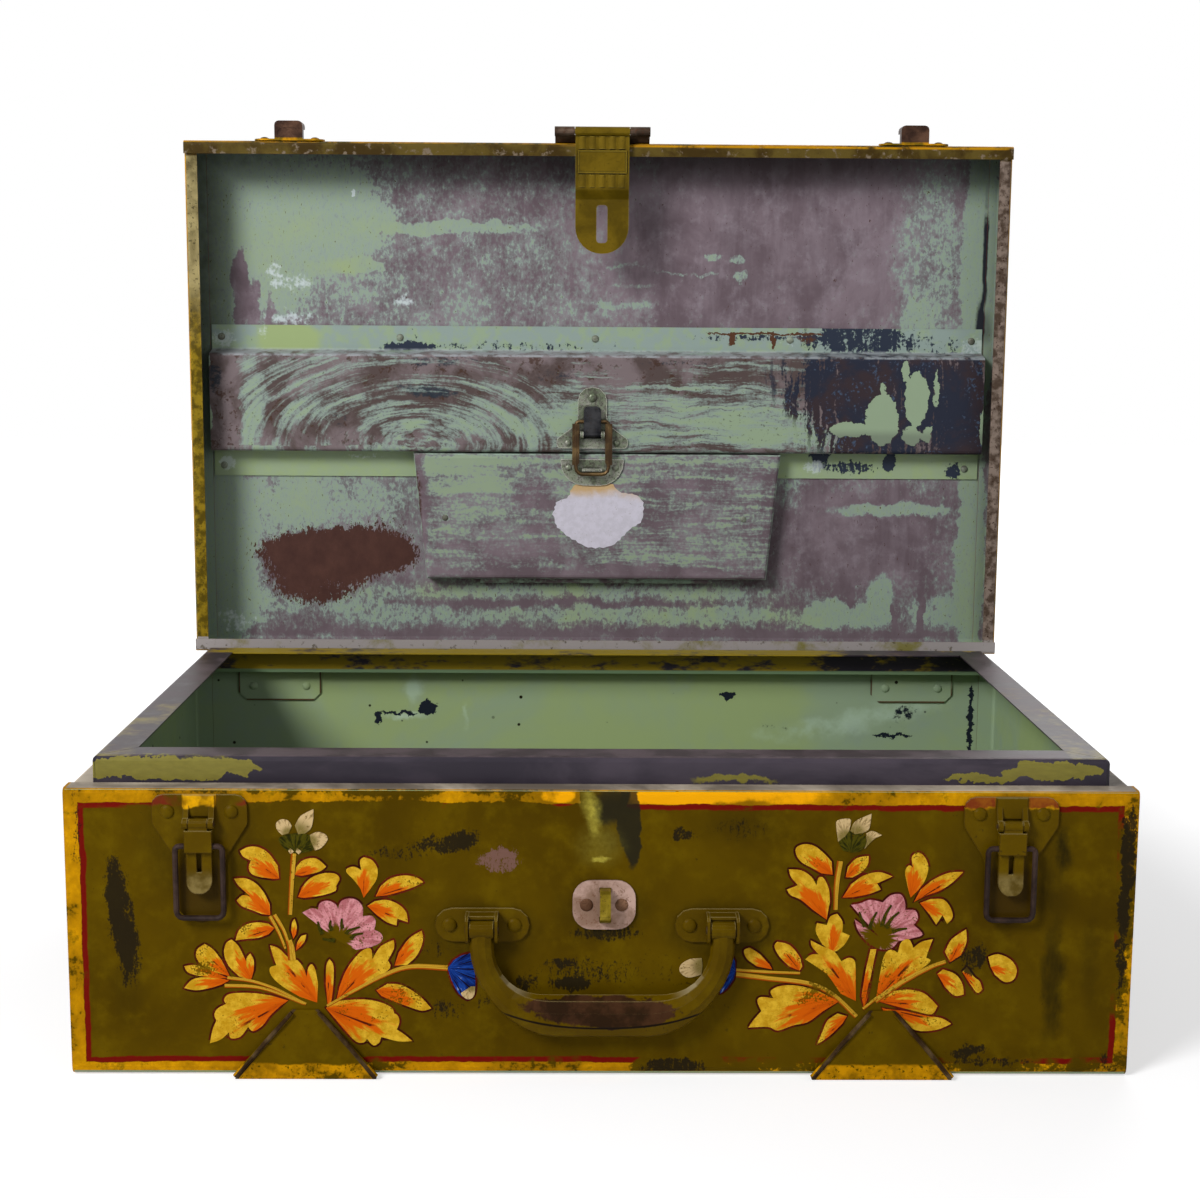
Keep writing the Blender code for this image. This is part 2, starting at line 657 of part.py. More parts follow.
def lid_catch(side, x, bail_z, lid_axis):
    """The hook on the lid: a box with one closed face on a plate, whose crown runs on as a lip for the bail."""
    bar_up = bail_z - BAIL_REACH * math.cos(BAIL_UP_ANGLE) - HINGE_Z
    bar_out = LATCH_PIVOT_OUT + BAIL_REACH * math.sin(BAIL_UP_ANGLE)
    room = BAIL_WIRE + GAP
    seat = RIM_Y + bar_up - room
    lip_low = LID_TOP + bar_out + room
    plate_near = seat - CATCH_PLATE / 2
    half, ear = CATCH_WIDTH / 2, CATCH_PLATE / 2
    low = LID_TOP + GAP
    corners = [(x - half, plate_near), (x + half, plate_near), (x + half, plate_near + CATCH_PLATE),
               (x - half, plate_near + CATCH_PLATE)]
    base = outline(rounded(corners, ear * 0.95, closed=True), low, low + PLATE, Matrix())

    def arch(side_inset, crown_inset, corner, foot=low + PLATE / 2):
        side_x = CATCH_ARCH_WIDTH / 2 - side_inset
        crown = LID_TOP + CATCH_ARCH_HEIGHT - crown_inset
        return rounded([(x - side_x, foot), (x - side_x, crown), (x + side_x, crown), (x + side_x, foot)], corner)

    band = arch(0.0, 0.0, CATCH_CORNER) + arch(CATCH_WALL, CATCH_CROWN, CATCH_CROWN)[::-1]
    arch_near = plate_near + GAP
    hook = plate(band, arch_near, seat + CATCH_LIP - arch_near)
    wide = CATCH_ARCH_WIDTH
    cut(hook, block((x - wide, seat, LID_TOP), (x + wide, seat + 2 * CATCH_LIP, lip_low)))
    face_shape = arch(CATCH_WALL / 2, CATCH_CROWN / 2, CATCH_CORNER, low + PLATE / 3)
    closed_face = plate(face_shape, arch_near + GAP, CATCH_WALL)
    name_part(join(base, hook, closed_face), f"lid_catch_{side}", DARK_STEEL, lid_axis)


# Lock hasp and staple

def hasp(lid_axis):
    """A strap hinged at the lid's front edge, with fluted bands, a framed panel and a slotted tongue."""
    mid = FITTING_SHIFT
    pin_y, pin_z = RIM_Y - HASP_PIN_DROP, LID_TOP + HASP_PIN_OUT
    outer = outer_spans(HASP_WIDTH, HASP_ACROSS)
    middle = ((-HASP_WIDTH / 2, HASP_WIDTH / 2),)
    half_leaf = HASP_ACROSS / 2 - GAP
    face = LID_TOP + GAP + HASP_THICK / 2
    root = HASP_KNUCKLE * 0.4
    path = [(RIM_Y + HASP_LEAF, face), (RIM_Y + HASP_PIN_DROP, face), (pin_y + root, pin_z - root)]
    leaf = folded(rounded(path, EDGE_BEND), mid - half_leaf, mid + half_leaf, HASP_THICK)
    knuckles(leaf, HASP_KNUCKLE, mid, pin_y, pin_z, outer)
    running_room(leaf, HASP_KNUCKLE, mid, pin_y, pin_z, middle)
    pin_hole(leaf, HASP_PIN, mid, pin_y, pin_z, HASP_ACROSS)
    name_part(leaf, "hasp_leaf", DARK_STEEL, lid_axis)

    pin_axis = axis_empty("hasp_axis", mid, pin_y, pin_z, lid_axis)
    pin = rod(HASP_PIN, mid - HASP_ACROSS / 2, mid + HASP_ACROSS / 2, pin_y, pin_z, sides=12)
    name_part(pin, "hasp_pin", DARK_STEEL, pin_axis)

    step_z = pin_z - HASP_KNUCKLE - 2 * HASP_BAND - HASP_PANEL - 3 * HASP_FRAME
    tip_z = pin_z - HASP_LENGTH
    inner_y = pin_y + HASP_STEP
    ramp = 1.7 * HASP_STEP
    strap_path = [(pin_y, pin_z - root), (pin_y, step_z), (inner_y, step_z - ramp), (inner_y, tip_z)]
    wide = HASP_WIDTH / 2
    strap = folded(rounded(strap_path, HASP_STEP), mid - wide, mid + wide, HASP_THICK)
    half = wide - GAP
    shape = [(mid - half, pin_z), (mid - half, tip_z), (mid + half, tip_z), (mid + half, pin_z)]
    trim = plate(rounded(shape, [0, half * 0.98, half * 0.98, 0], steps=8, closed=True),
                 pin_y - 5 * HASP_THICK, 10 * HASP_THICK + HASP_STEP)
    combine(strap, [trim], "INTERSECT")
    knuckles(strap, HASP_KNUCKLE, mid, pin_y, pin_z, middle)
    hasp_relief(strap, mid, pin_y, pin_z)
    pin_hole(strap, HASP_PIN, mid, pin_y, pin_z, HASP_ACROSS)
    slot_half = SLOT_WIDTH / 2
    slot_high = pin_z - (HINGE_Z - HASP_PIN_DROP - STAPLE_Z) + (STAPLE_SPAN + STAPLE_THICK) / 2 + MM
    slot_low = slot_high - SLOT_LENGTH
    slot = [(mid - slot_half, slot_low), (mid + slot_half, slot_low), (mid + slot_half, slot_high),
            (mid - slot_half, slot_high)]
    cut(strap, plate(rounded(slot, slot_half * 0.6, closed=True), pin_y - 4 * HASP_THICK, 10 * HASP_THICK))
    name_part(strap, "hasp_strap", OLIVE, pin_axis)


def hasp_relief(strap, mid, pin_y, pin_z):
    """The pressed relief on the strap's face: flutes, a framed panel, and flutes again."""
    front = pin_y - HASP_THICK / 2
    sunk = front + HASP_FRAME / 2
    first = pin_z - HASP_KNUCKLE - HASP_BAND / 2
    pitch = HASP_WIDTH / (HASP_FLUTES + 0.5)
    second = first - HASP_BAND - HASP_PANEL - 2 * HASP_FRAME
    half = HASP_FLUTE / 2
    for band_z in (first, second):
        for i in range(HASP_FLUTES):
            x = mid + (i - (HASP_FLUTES - 1) / 2) * pitch
            crest = [(x + half * t, front - HASP_FRAME * (1 - t * t)) for t in (-1, -0.5, 0, 0.5, 1)]
            lens = crest + [(x + half, sunk), (x - half, sunk)]
            join(strap, outline(lens, band_z - HASP_BAND / 2, band_z + HASP_BAND / 2, Matrix()))
    panel_z = (first + second) / 2
    half_x, half_z = HASP_WIDTH / 2 - 2 * HASP_FRAME, HASP_PANEL / 2
    frame = block((mid - half_x, front - HASP_FRAME, panel_z - half_z), (mid + half_x, sunk, panel_z + half_z))
    sunk_x, sunk_z = half_x - HASP_FRAME, half_z - HASP_FRAME
    window = block((mid - sunk_x, front - 2 * HASP_FRAME, panel_z - sunk_z),
                   (mid + sunk_x, front - HASP_FRAME / 2, panel_z + sunk_z))
    join(strap, cut(frame, window))


def staple():
    """The lock staple: a bent strap through an oblong plate on the base's front."""
    half_x, half_z = STAPLE_PLATE_WIDTH / 2, STAPLE_PLATE_HEIGHT / 2
    left, right = STAPLE_X - half_x, STAPLE_X + half_x
    corners = [(left, STAPLE_Z - half_z), (right, STAPLE_Z - half_z), (right, STAPLE_Z + half_z),
               (left, STAPLE_Z + half_z)]
    face = FRONT - GAP - PLATE
    oblong = plate(rounded(corners, half_z * 0.75, steps=6, closed=True), face, PLATE)
    reach = STAPLE_SPAN / 2
    crown = FRONT - STAPLE_OUT + STAPLE_THICK / 2
    seat = FRONT - GAP
    path = [(seat, STAPLE_Z - reach), (crown, STAPLE_Z - reach),
            (crown, STAPLE_Z + reach), (seat, STAPLE_Z + reach)]
    half_strap = STAPLE_STRAP / 2
    bent = rounded(path, reach * 0.9, steps=5)
    loop = folded(bent, STAPLE_LOOP_X - half_strap, STAPLE_LOOP_X + half_strap, STAPLE_THICK)
    room_x, room_z = half_strap + GAP, STAPLE_THICK / 2 + GAP
    for end in (-reach, reach):
        z = STAPLE_Z + end
        low, high = STAPLE_LOOP_X - room_x, STAPLE_LOOP_X + room_x
        hole = [(low, z - room_z), (high, z - room_z), (high, z + room_z), (low, z + room_z)]
        cut(oblong, plate(hole, face - PLATE, 4 * PLATE))
    name_part(oblong, "staple_plate", BARE_STEEL)
    name_part(loop, "lock_staple", BARE_STEEL)


# Carrying handle

def handle():
    """A bail handle that swings on two hooded brackets."""
    pivot_y = FRONT - HANDLE_OUT
    axis = axis_empty("handle_axis", 0, pivot_y, HANDLE_Z)
    half = HANDLE_SPAN / 2
    low = HANDLE_Z - HANDLE_DROP
    corners = [(-half, pivot_y, HANDLE_Z), (-half, pivot_y, low), (half, pivot_y, low), (half, pivot_y, HANDLE_Z)]
    path = rounded(corners, HANDLE_CORNER, steps=9)
    drawn = draw_curve(path, closed=False, flat=False)
    drawn.data.bevel_depth = GRIP_HALF
    drawn.data.bevel_resolution = 3
    drawn.data.use_fill_caps = True
    for place in drawn.data.splines[0].points:
        inward = 1 - abs(place.co.x) / half
        swell = min(1.0, inward / (HANDLE_CORNER / half))
        place.radius = 1 - (1 - ARM_HALF / GRIP_HALF) * (1 - swell * swell * (3 - 2 * swell))
    flatten = Matrix.Translation((0, pivot_y, 0)) @ Matrix.Diagonal((1, HANDLE_FLATNESS, 1, 1))
    bar = as_mesh(drawn, flatten @ Matrix.Translation((0, -pivot_y, 0)))
    eye = ARM_HALF * 0.75
    eyes = [rod(eye, s * half - ARM_HALF, s * half + ARM_HALF, pivot_y, HANDLE_Z) for _, s in SIDES]
    join(bar, *eyes)
    for _, sign in SIDES:
        pin_hole(bar, HANDLE_PIN, sign * half, pivot_y, HANDLE_Z, 2 * ARM_HALF)
    name_part(bar, "handle_bail", OLIVE, axis)
    for side, sign in SIDES:
        handle_bracket(side, sign * half, pivot_y, eye)


def handle_bracket(side, x, pivot_y, eye):
    """A riveted oblong plate with two cheeks and a hood, and the pin that the handle turns on."""
    half_x, half_z = BRACKET_WIDTH / 2, BRACKET_HEIGHT / 2
    corners = [(x - half_x, HANDLE_Z - half_z), (x + half_x, HANDLE_Z - half_z), (x + half_x, HANDLE_Z + half_z),
               (x - half_x, HANDLE_Z + half_z)]
    face = FRONT - GAP - PLATE
    base = plate(rounded(corners, half_z * 0.98, closed=True), face, PLATE)
    sunk = face + PLATE / 2
    inner = ARM_HALF + 2 * GAP
    outer = inner + CHEEK
    nose = pivot_y - HANDLE_PIN - CHEEK
    top = HANDLE_Z + CHEEK_HEIGHT / 2
    cheek_low = HANDLE_Z - CHEEK_HEIGHT / 2
    round_nose = CHEEK_HEIGHT * 0.25
    for sign in (-1, 1):
        span = sorted((x + sign * inner, x + sign * outer))
        profile = [(sunk, cheek_low), (nose, cheek_low), (nose, top), (sunk, top)]
        shape = rounded(profile, [0, round_nose, round_nose, 0], closed=True)
        join(base, outline(shape, span[0], span[1], PROFILE_YZ))
    hood_low = HANDLE_Z + eye + 2 * GAP
    join(base, block((x - outer + GAP, pivot_y, hood_low), (x + outer - GAP, sunk, top - GAP)))
    pin_hole(base, HANDLE_PIN, x, pivot_y, HANDLE_Z, 2 * outer)
    name_part(base, f"handle_bracket_{side}", OLIVE)
    pin = rod(HANDLE_PIN, x - outer - GAP, x + outer + GAP, pivot_y, HANDLE_Z, sides=12)
    name_part(pin, f"handle_pin_{side}", DARK_STEEL)


# Pocket in the lid

def pocket_rail(lid_axis):
    """A hat-section channel riveted across the lid's panel."""
    on_panel = PANEL_IN - GAP - SHEET / 2
    face = PANEL_IN - RAIL_PROUD + SHEET / 2
    low, high = LID_BOTTOM + RAIL_FACE_LOW, LID_BOTTOM + RAIL_FACE_HIGH
    web = low + SHEET / 2
    path = [(on_panel, LID_BOTTOM + RAIL_BOTTOM), (on_panel, web), (face, web),
            (face, high), (on_panel, high + RAIL_SLOPE), (on_panel, LID_BOTTOM + RAIL_TOP)]
    half = TRUNK_WIDTH / 2 - LID_RIM - SHEET - GAP
    rail = folded(rounded(path, EDGE_BEND), -half, half)
    name_part(rail, "pocket_rail", RAIL_PAINT, lid_axis)


def pocket_flap(lid_axis):
    """A pressed pan that closes the pocket, hinged along its lower edge on a leaf behind it."""
    low, top = LID_BOTTOM + FLAP_BOTTOM, LID_BOTTOM + RAIL_FACE_LOW - FLAP_CLEARANCE
    face = PANEL_IN - FLAP_PROUD + SHEET / 2
    rim = PANEL_IN - GAP - SHEET - FLAP_CLEARANCE
    hinge_y, hinge_z = rim - FLAP_KNUCKLE, low - FLAP_PIN_DROP
    flap_axis = axis_empty("pocket_flap_axis", 0, hinge_y, hinge_z, lid_axis)
    half_top, half_low = (FLAP_TOP_WIDTH - SHEET) / 2, (FLAP_BOTTOM_WIDTH - SHEET) / 2
    inset = SHEET / 2
    pan = block((-half_top, face, low + inset), (half_top, rim, top - inset))
    edit = bmesh.new()
    edit.from_mesh(pan.data)
    for vertex in edit.verts:
        if vertex.co.z < (low + top) / 2:
            vertex.co.x = math.copysign(half_low, vertex.co.x)
    front_edges = [e for e in edit.edges if all(v.co.y < (face + rim) / 2 for v in e.verts)]
    bmesh.ops.bevel(edit, geom=front_edges, offset=FLAP_BEND, segments=3, profile=0.5, affect="EDGES")
    back = [f for f in edit.faces if all(abs(v.co.y - rim) < 0.01 * MM for v in f.verts)]
    bmesh.ops.delete(edit, geom=back, context="FACES")
    edit.to_mesh(pan.data)
    edit.free()
    thicken(pan, SHEET)
    middle = ((-FLAP_HINGE_MIDDLE / 2, FLAP_HINGE_MIDDLE / 2),)
    outer = outer_spans(FLAP_HINGE_MIDDLE, FLAP_HINGE_WIDTH)
    knuckles(pan, FLAP_KNUCKLE, 0, hinge_y, hinge_z, middle)
    running_room(pan, FLAP_KNUCKLE, 0, hinge_y, hinge_z, outer)
    pin_hole(pan, FLAP_PIN, 0, hinge_y, hinge_z, FLAP_HINGE_WIDTH)
    name_part(pan, "pocket_flap", RAIL_PAINT, flap_axis)

    half = FLAP_HINGE_WIDTH / 2 - GAP
    on_panel = PANEL_IN - GAP - SHEET / 2
    root = FLAP_KNUCKLE * 0.4
    path = [(on_panel, hinge_z + FLAP_LEAF), (on_panel, hinge_z), (hinge_y + root, hinge_z - root)]
    leaf = folded(rounded(path, SHEET), -half, half)
    knuckles(leaf, FLAP_KNUCKLE, 0, hinge_y, hinge_z, outer)
    running_room(leaf, FLAP_KNUCKLE, 0, hinge_y, hinge_z, middle)
    pin_hole(leaf, FLAP_PIN, 0, hinge_y, hinge_z, FLAP_HINGE_WIDTH)
    name_part(leaf, "pocket_hinge_leaf", RAIL_PAINT, lid_axis)
    pin = rod(FLAP_PIN, -FLAP_HINGE_WIDTH / 2, FLAP_HINGE_WIDTH / 2, hinge_y, hinge_z, sides=12)
    name_part(pin, "pocket_hinge_pin", DARK_STEEL, lid_axis)
    return flap_axis


def pocket_latch(lid_axis, flap_axis):
    """The pocket's draw latch, shut: a lever on the rail, and a bail down to a ledge on the flap."""
    x = POCKET_LATCH_X
    rail_face = PANEL_IN - RAIL_PROUD
    pivot_y = rail_face - POCKET_PIVOT_OUT
    plate_low = LID_BOTTOM + RAIL_FACE_LOW + EDGE_BEND + SHEET
    pivot_z = plate_low + POCKET_PIVOT_UP - EDGE_BEND
    ear, tip = POCKET_PLATE_WIDTH / 2, POCKET_PLATE_TOP / 2
    high = plate_low + POCKET_PLATE_HEIGHT
    ear_high, neck = plate_low + POCKET_PLATE_EAR, plate_low + POCKET_PLATE_NECK
    bell = [(ear, plate_low), (ear, ear_high), (tip, neck), (tip, high),
            (-tip, high), (-tip, neck), (-ear, ear_high), (-ear, plate_low)]
    corner, flare, crown = POCKET_PLATE_EAR * 0.4, POCKET_PLATE_NECK * 0.6, tip * 0.95
    radii = [corner, corner, flare, crown, crown, flare, corner, corner]
    face = rail_face - GAP - PLATE
    backplate = plate([(x + p.x, p.y) for p in rounded(bell, radii, closed=True)], face, PLATE)
    inner = POCKET_LEVER_WIDTH / 2 + GAP
    lugs = ((-inner - POCKET_LUG, -inner), (inner, inner + POCKET_LUG))
    sunk = face + PLATE / 2
    webs = [block((x + a, pivot_y, pivot_z - POCKET_KNUCKLE * 0.8), (x + b, sunk, pivot_z + POCKET_KNUCKLE * 0.8))
            for a, b in lugs]
    join(backplate, *webs)
    knuckles(backplate, POCKET_KNUCKLE, x, pivot_y, pivot_z, lugs)
    pin_hole(backplate, POCKET_PIN, x, pivot_y, pivot_z, POCKET_PLATE_WIDTH)
    name_part(backplate, "pocket_latch_plate", PLATED_STEEL, lid_axis)
    pin = rod(POCKET_PIN, x + lugs[0][0] - GAP, x + lugs[1][1] + GAP, pivot_y, pivot_z, sides=12)
    name_part(pin, "pocket_latch_pin", DARK_STEEL, lid_axis)

    lever_axis = axis_empty("pocket_lever_axis", x, pivot_y, pivot_z, lid_axis)
    half, thick = POCKET_LEVER_WIDTH / 2, POCKET_LEVER_THICK / 2
    top = pivot_z + POCKET_LEVER_LENGTH
    corners = [(x - half, pivot_z), (x + half, pivot_z), (x + half, top), (x - half, top)]
    lever = plate(rounded(corners, [0, 0, half * 0.5, half * 0.5], closed=True), pivot_y - thick, 2 * thick)
    knuckles(lever, POCKET_KNUCKLE, x, pivot_y, pivot_z, ((-half, half),))
    pin_hole(lever, POCKET_PIN, x, pivot_y, pivot_z, POCKET_PLATE_WIDTH)
    bail_z = pivot_z + POCKET_BAIL_UP
    pin_hole(lever, POCKET_BAIL_WIRE - GAP / 2, x, pivot_y, bail_z, POCKET_PLATE_WIDTH)
    name_part(lever, "pocket_latch_lever", DARK_STEEL, lever_axis)

    bail_axis = axis_empty("pocket_bail_axis", x, pivot_y, bail_z, lever_axis)
    leg = POCKET_BAIL_WIDTH / 2 - POCKET_BAIL_WIRE
    bar_z = bail_z - POCKET_BAIL_REACH
    end = half * 0.5
    loop = [(x - end, pivot_y, bail_z), (x - leg, pivot_y, bail_z), (x - leg, pivot_y, bar_z),
            (x + leg, pivot_y, bar_z), (x + leg, pivot_y, bail_z), (x + end, pivot_y, bail_z)]
    tight = 1.6 * POCKET_BAIL_WIRE
    bail = wire(rounded(loop, [0, tight, 2 * tight, 2 * tight, tight, 0]), POCKET_BAIL_WIRE - GAP / 2)
    near, far = inner + POCKET_LUG + 2 * GAP, POCKET_BAIL_WIDTH / 2 + POCKET_STRAP_OUT
    low, rise = bar_z + POCKET_STRAP_ENDS, bail_z - POCKET_BAIL_WIRE
    strap = POCKET_BAIL_WIRE * 0.75
    for sign in (-1, 1):
        edge = [(x + sign * near, low), (x + sign * far, low), (x + sign * far, rise), (x + sign * near, rise)]
        turns = [0.45 * (far - near), 0, 0, 0]
        if sign < 0:
            edge.reverse()
            turns.reverse()
        join(bail, plate(rounded(edge, turns, closed=True), pivot_y - strap, 2 * strap))
    name_part(bail, "pocket_latch_bail", DARK_STEEL, bail_axis)

    flap_face = PANEL_IN - FLAP_PROUD
    ledge_low = bar_z + POCKET_BAIL_WIRE + POCKET_LEDGE_ROOM
    half_moon = POCKET_CATCH_WIDTH / 2
    moon_top = LID_BOTTOM + RAIL_FACE_LOW - FLAP_CLEARANCE - FLAP_BEND - SHEET
    moon_low = moon_top - POCKET_CATCH_HEIGHT
    moon = [(x - half_moon, moon_low), (x + half_moon, moon_low), (x + half_moon, moon_top),
            (x - half_moon, moon_top)]
    catch_face = flap_face - GAP - PLATE
    round_low = POCKET_CATCH_HEIGHT * 0.9
    catch = plate(rounded(moon, [round_low, round_low, 0, 0], steps=5, closed=True), catch_face, PLATE)
    ledge_half = POCKET_LEDGE / 2
    ledge = block((x - ledge_half, pivot_y, ledge_low),
                  (x + ledge_half, catch_face + PLATE / 2, ledge_low + POCKET_LEDGE_THICK))
    name_part(join(catch, ledge), "pocket_catch", PLATED_STEEL, flap_axis)


# The trunk, put together

base_wrap()
for side, sign in SIDES:
    end_pan(f"base_end_{side}", sign, (FRONT, BACK), (0, BASE_HEIGHT), SHOULDER - GAP, OLIVE)
neck()
for side, sign in SIDES:
    wedge_foot(f"foot_front_{side}", sign * FOOT_X + FOOT_SHIFT, 0)
    wedge_foot(f"foot_back_{side}", sign * FOOT_X, math.pi)
    hinge_backing(f"hinge_backing_{side}", sign * HINGE_X)

LID_AXIS = axis_empty("lid_axis", 0, HINGE_Y, HINGE_Z)
lid_wrap(LID_AXIS)
for side, sign in SIDES:
    end_pan(f"lid_end_{side}", sign, (RIM_Y, PANEL_OUT), (LID_BOTTOM, LID_TOP), LID_RIM, INNER_PAINT, LID_AXIS)
    lid_hinge(side, sign * HINGE_X, LID_AXIS)
    latch(side, sign * LATCH_X + FITTING_SHIFT, LID_AXIS)
hasp(LID_AXIS)
staple()
handle()
pocket_rail(LID_AXIS)
pocket_latch(LID_AXIS, pocket_flap(LID_AXIS))
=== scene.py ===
# A sheet-steel travel trunk standing open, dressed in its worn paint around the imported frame.
import math

import bmesh
import bpy
from mathutils import Matrix, Vector, geometry


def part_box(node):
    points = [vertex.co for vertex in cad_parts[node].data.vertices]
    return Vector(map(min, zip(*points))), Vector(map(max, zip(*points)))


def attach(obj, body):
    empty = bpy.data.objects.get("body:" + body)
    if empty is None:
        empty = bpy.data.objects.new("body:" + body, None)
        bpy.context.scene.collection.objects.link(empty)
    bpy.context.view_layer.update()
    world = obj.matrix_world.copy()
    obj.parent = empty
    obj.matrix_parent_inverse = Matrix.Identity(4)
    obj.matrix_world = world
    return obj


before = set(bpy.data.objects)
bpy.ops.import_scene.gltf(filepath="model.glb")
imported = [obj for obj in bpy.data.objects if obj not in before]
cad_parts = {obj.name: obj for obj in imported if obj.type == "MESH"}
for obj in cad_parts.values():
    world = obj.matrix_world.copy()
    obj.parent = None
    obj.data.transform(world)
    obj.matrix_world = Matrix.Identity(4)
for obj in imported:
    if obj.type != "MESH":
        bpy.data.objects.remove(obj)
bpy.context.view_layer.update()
MM = 0.001


# Floor, light and camera
# The trunk stands on a plain white floor, lit by one broad soft lamp high on the left, a weak one on the
# right and one behind. The camera stands in front of it, a little above its open mouth.

class Level:
    """One output of a shader node; sums, products and comparisons of levels are Math nodes."""

    def __init__(self, socket):
        self.socket = socket

    def __add__(self, other):
        return calc("ADD", self, other)

    def __radd__(self, other):
        return calc("ADD", other, self)

    def __sub__(self, other):
        return calc("SUBTRACT", self, other)

    def __rsub__(self, other):
        return calc("SUBTRACT", other, self)

    def __mul__(self, other):
        return calc("MULTIPLY", self, other)

    def __truediv__(self, other):
        return calc("DIVIDE", self, other)

    def __lt__(self, other):
        return calc("LESS_THAN", self, other)

    def __gt__(self, other):
        return calc("GREATER_THAN", self, other)

    def __abs__(self):
        return calc("ABSOLUTE", self)


class Outputs:
    """What a node puts out, each output a Level found by its number or its name."""

    def __init__(self, made):
        self.sockets = made.outputs

    def __getitem__(self, key):
        return Level(self.sockets[key])

    def __iter__(self):
        return (Level(socket) for socket in self.sockets)


bench = {}


def clear_bench(tree):
    """Empty a node tree and work on it until the next one."""
    tree.nodes.clear()
    bench["tree"] = tree


def node(kind, into=None, **settings):
    """Add one shader node; what another node puts out is linked to its input, any other value is set."""
    made = bench["tree"].nodes.new("ShaderNode" + kind)
    for name, value in settings.items():
        setattr(made, name, value)
    for key, value in (into or {}).items():
        if isinstance(value, Outputs):
            value = value[0]
        if isinstance(value, Level):
            bench["tree"].links.new(value.socket, made.inputs[key])
        else:
            made.inputs[key].default_value = value
    return Outputs(made)


def calc(operation, *values):
    return node("Math", dict(enumerate(values)), operation=operation)[0]


def vector_calc(operation, *values):
    return node("VectorMath", dict(enumerate(values)), operation=operation)


def least(first, second):
    return calc("MINIMUM", first, second)


def most(first, second):
    return calc("MAXIMUM", first, second)


def start_paint(name):
    """A cleared material on the bench, and the coordinates that its paint lies on."""
    material = bpy.data.materials.new(name)
    material.use_nodes = True
    clear_bench(material.node_tree)
    return material, node("TexCoord")["Object"]


def seen_directly():
    """One for rays from the camera, from a mirror-like surface or through glass, else nought."""
    path = node("LightPath")
    return most(most(path["Is Camera Ray"], path["Is Glossy Ray"]), path["Is Transmission Ray"])


def put(name, data):
    """A new object in the scene."""
    made = bpy.data.objects.new(name, data)
    bpy.context.collection.objects.link(made)
    return made


AMBIENT = 0.30
WHITE = (1, 1, 1, 1)
world = bpy.data.worlds.new("white_studio")
bpy.context.scene.world = world
world.use_nodes = True
clear_bench(world.node_tree)
sky = node("Background", {"Color": WHITE, "Strength": seen_directly() * (1.0 - AMBIENT) + AMBIENT})
node("OutputWorld", {"Surface": sky})

FLOOR_HALF, FLOOR_DROP = 5.0, 0.3 * MM
FLOOR_GREY, FLOOR_GLOW = (0.86, 0.86, 0.87, 1), 1.3
SHADOW_NEAR, SHADOW_FAR = 0.45, 1.0
GLOW_NEAR, GLOW_FAR = 0.40, 1.0
floor_mesh = bpy.data.meshes.new("floor")
floor_signs = ((-1, -1), (1, -1), (1, 1), (-1, 1))
floor_corners = [(x * FLOOR_HALF, y * FLOOR_HALF, -FLOOR_DROP) for x, y in floor_signs]
floor_mesh.from_pydata(floor_corners, [], [(0, 1, 2, 3)])
floor = put("floor", floor_mesh)
floor_paint, where = start_paint("white_floor")
matt = node("BsdfDiffuse", {"Color": FLOOR_GREY})
glow = node("Emission", {"Color": WHITE, "Strength": FLOOR_GLOW})
from_middle = vector_calc("LENGTH", where)["Value"]
glow_share = node("MapRange", {0: from_middle, 1: SHADOW_NEAR, 2: SHADOW_FAR, 3: GLOW_NEAR, 4: GLOW_FAR},
                  interpolation_type="SMOOTHSTEP")[0]
floor_mix = node("MixShader", {0: seen_directly() * glow_share, 1: matt, 2: glow})
node("OutputMaterial", {"Surface": floor_mix})
floor_mesh.materials.append(floor_paint)


def soft_lamp(name, place, aim, size, watts):
    lamp = bpy.data.lights.new(name, "AREA")
    lamp.shape = "DISK"
    lamp.size = size
    lamp.energy = watts
    holder = put(name, lamp)
    holder.location = place
    holder.rotation_euler = (Vector(aim) - Vector(place)).to_track_quat("-Z", "Y").to_euler()


soft_lamp("lamp_high_left", (-1.55, -1.75, 1.75), aim=(0, 0.05, 0.25), size=1.0, watts=80)
soft_lamp("lamp_low_right", (1.7, -2.0, 1.0), aim=(0, 0, 0.2), size=1.6, watts=9)
soft_lamp("lamp_behind", (0.9, 2.2, 1.9), aim=(0, 0.1, 0.25), size=1.6, watts=20)

CAMERA_PLACE = Vector((-0.0162, -1.2538, 0.4413))
CAMERA_PITCH, CAMERA_YAW, CAMERA_ROLL = math.radians(8.69), math.radians(0.737), math.radians(0.3875)
FILM_WIDTH, FOCAL_LENGTH = 36, 57.954
ahead = Vector((math.sin(CAMERA_YAW) * math.cos(CAMERA_PITCH), math.cos(CAMERA_YAW) * math.cos(CAMERA_PITCH),
                -math.sin(CAMERA_PITCH)))
level = Vector((math.cos(CAMERA_YAW), -math.sin(CAMERA_YAW), 0))
above = level.cross(ahead)
across = level * math.cos(CAMERA_ROLL) + above * math.sin(CAMERA_ROLL)
upward = above * math.cos(CAMERA_ROLL) - level * math.sin(CAMERA_ROLL)
camera_data = bpy.data.cameras.new("camera")
camera_data.sensor_width = FILM_WIDTH
camera_data.lens = FOCAL_LENGTH
camera_data.clip_start = 0.01
camera = put("camera", camera_data)
turn = Matrix((across, upward, -ahead)).transposed().to_4x4()
camera.matrix_world = Matrix.Translation(CAMERA_PLACE) @ turn
bpy.context.scene.camera = camera
bpy.context.scene.view_settings.view_transform = "Standard"


# Base body
# One sheet of steel folded into front, bottom and back, with an end pan lapped in at each side. Outside it
# is brushed with olive enamel and edged with a yellow band and a dark red line; inside it is pale green.

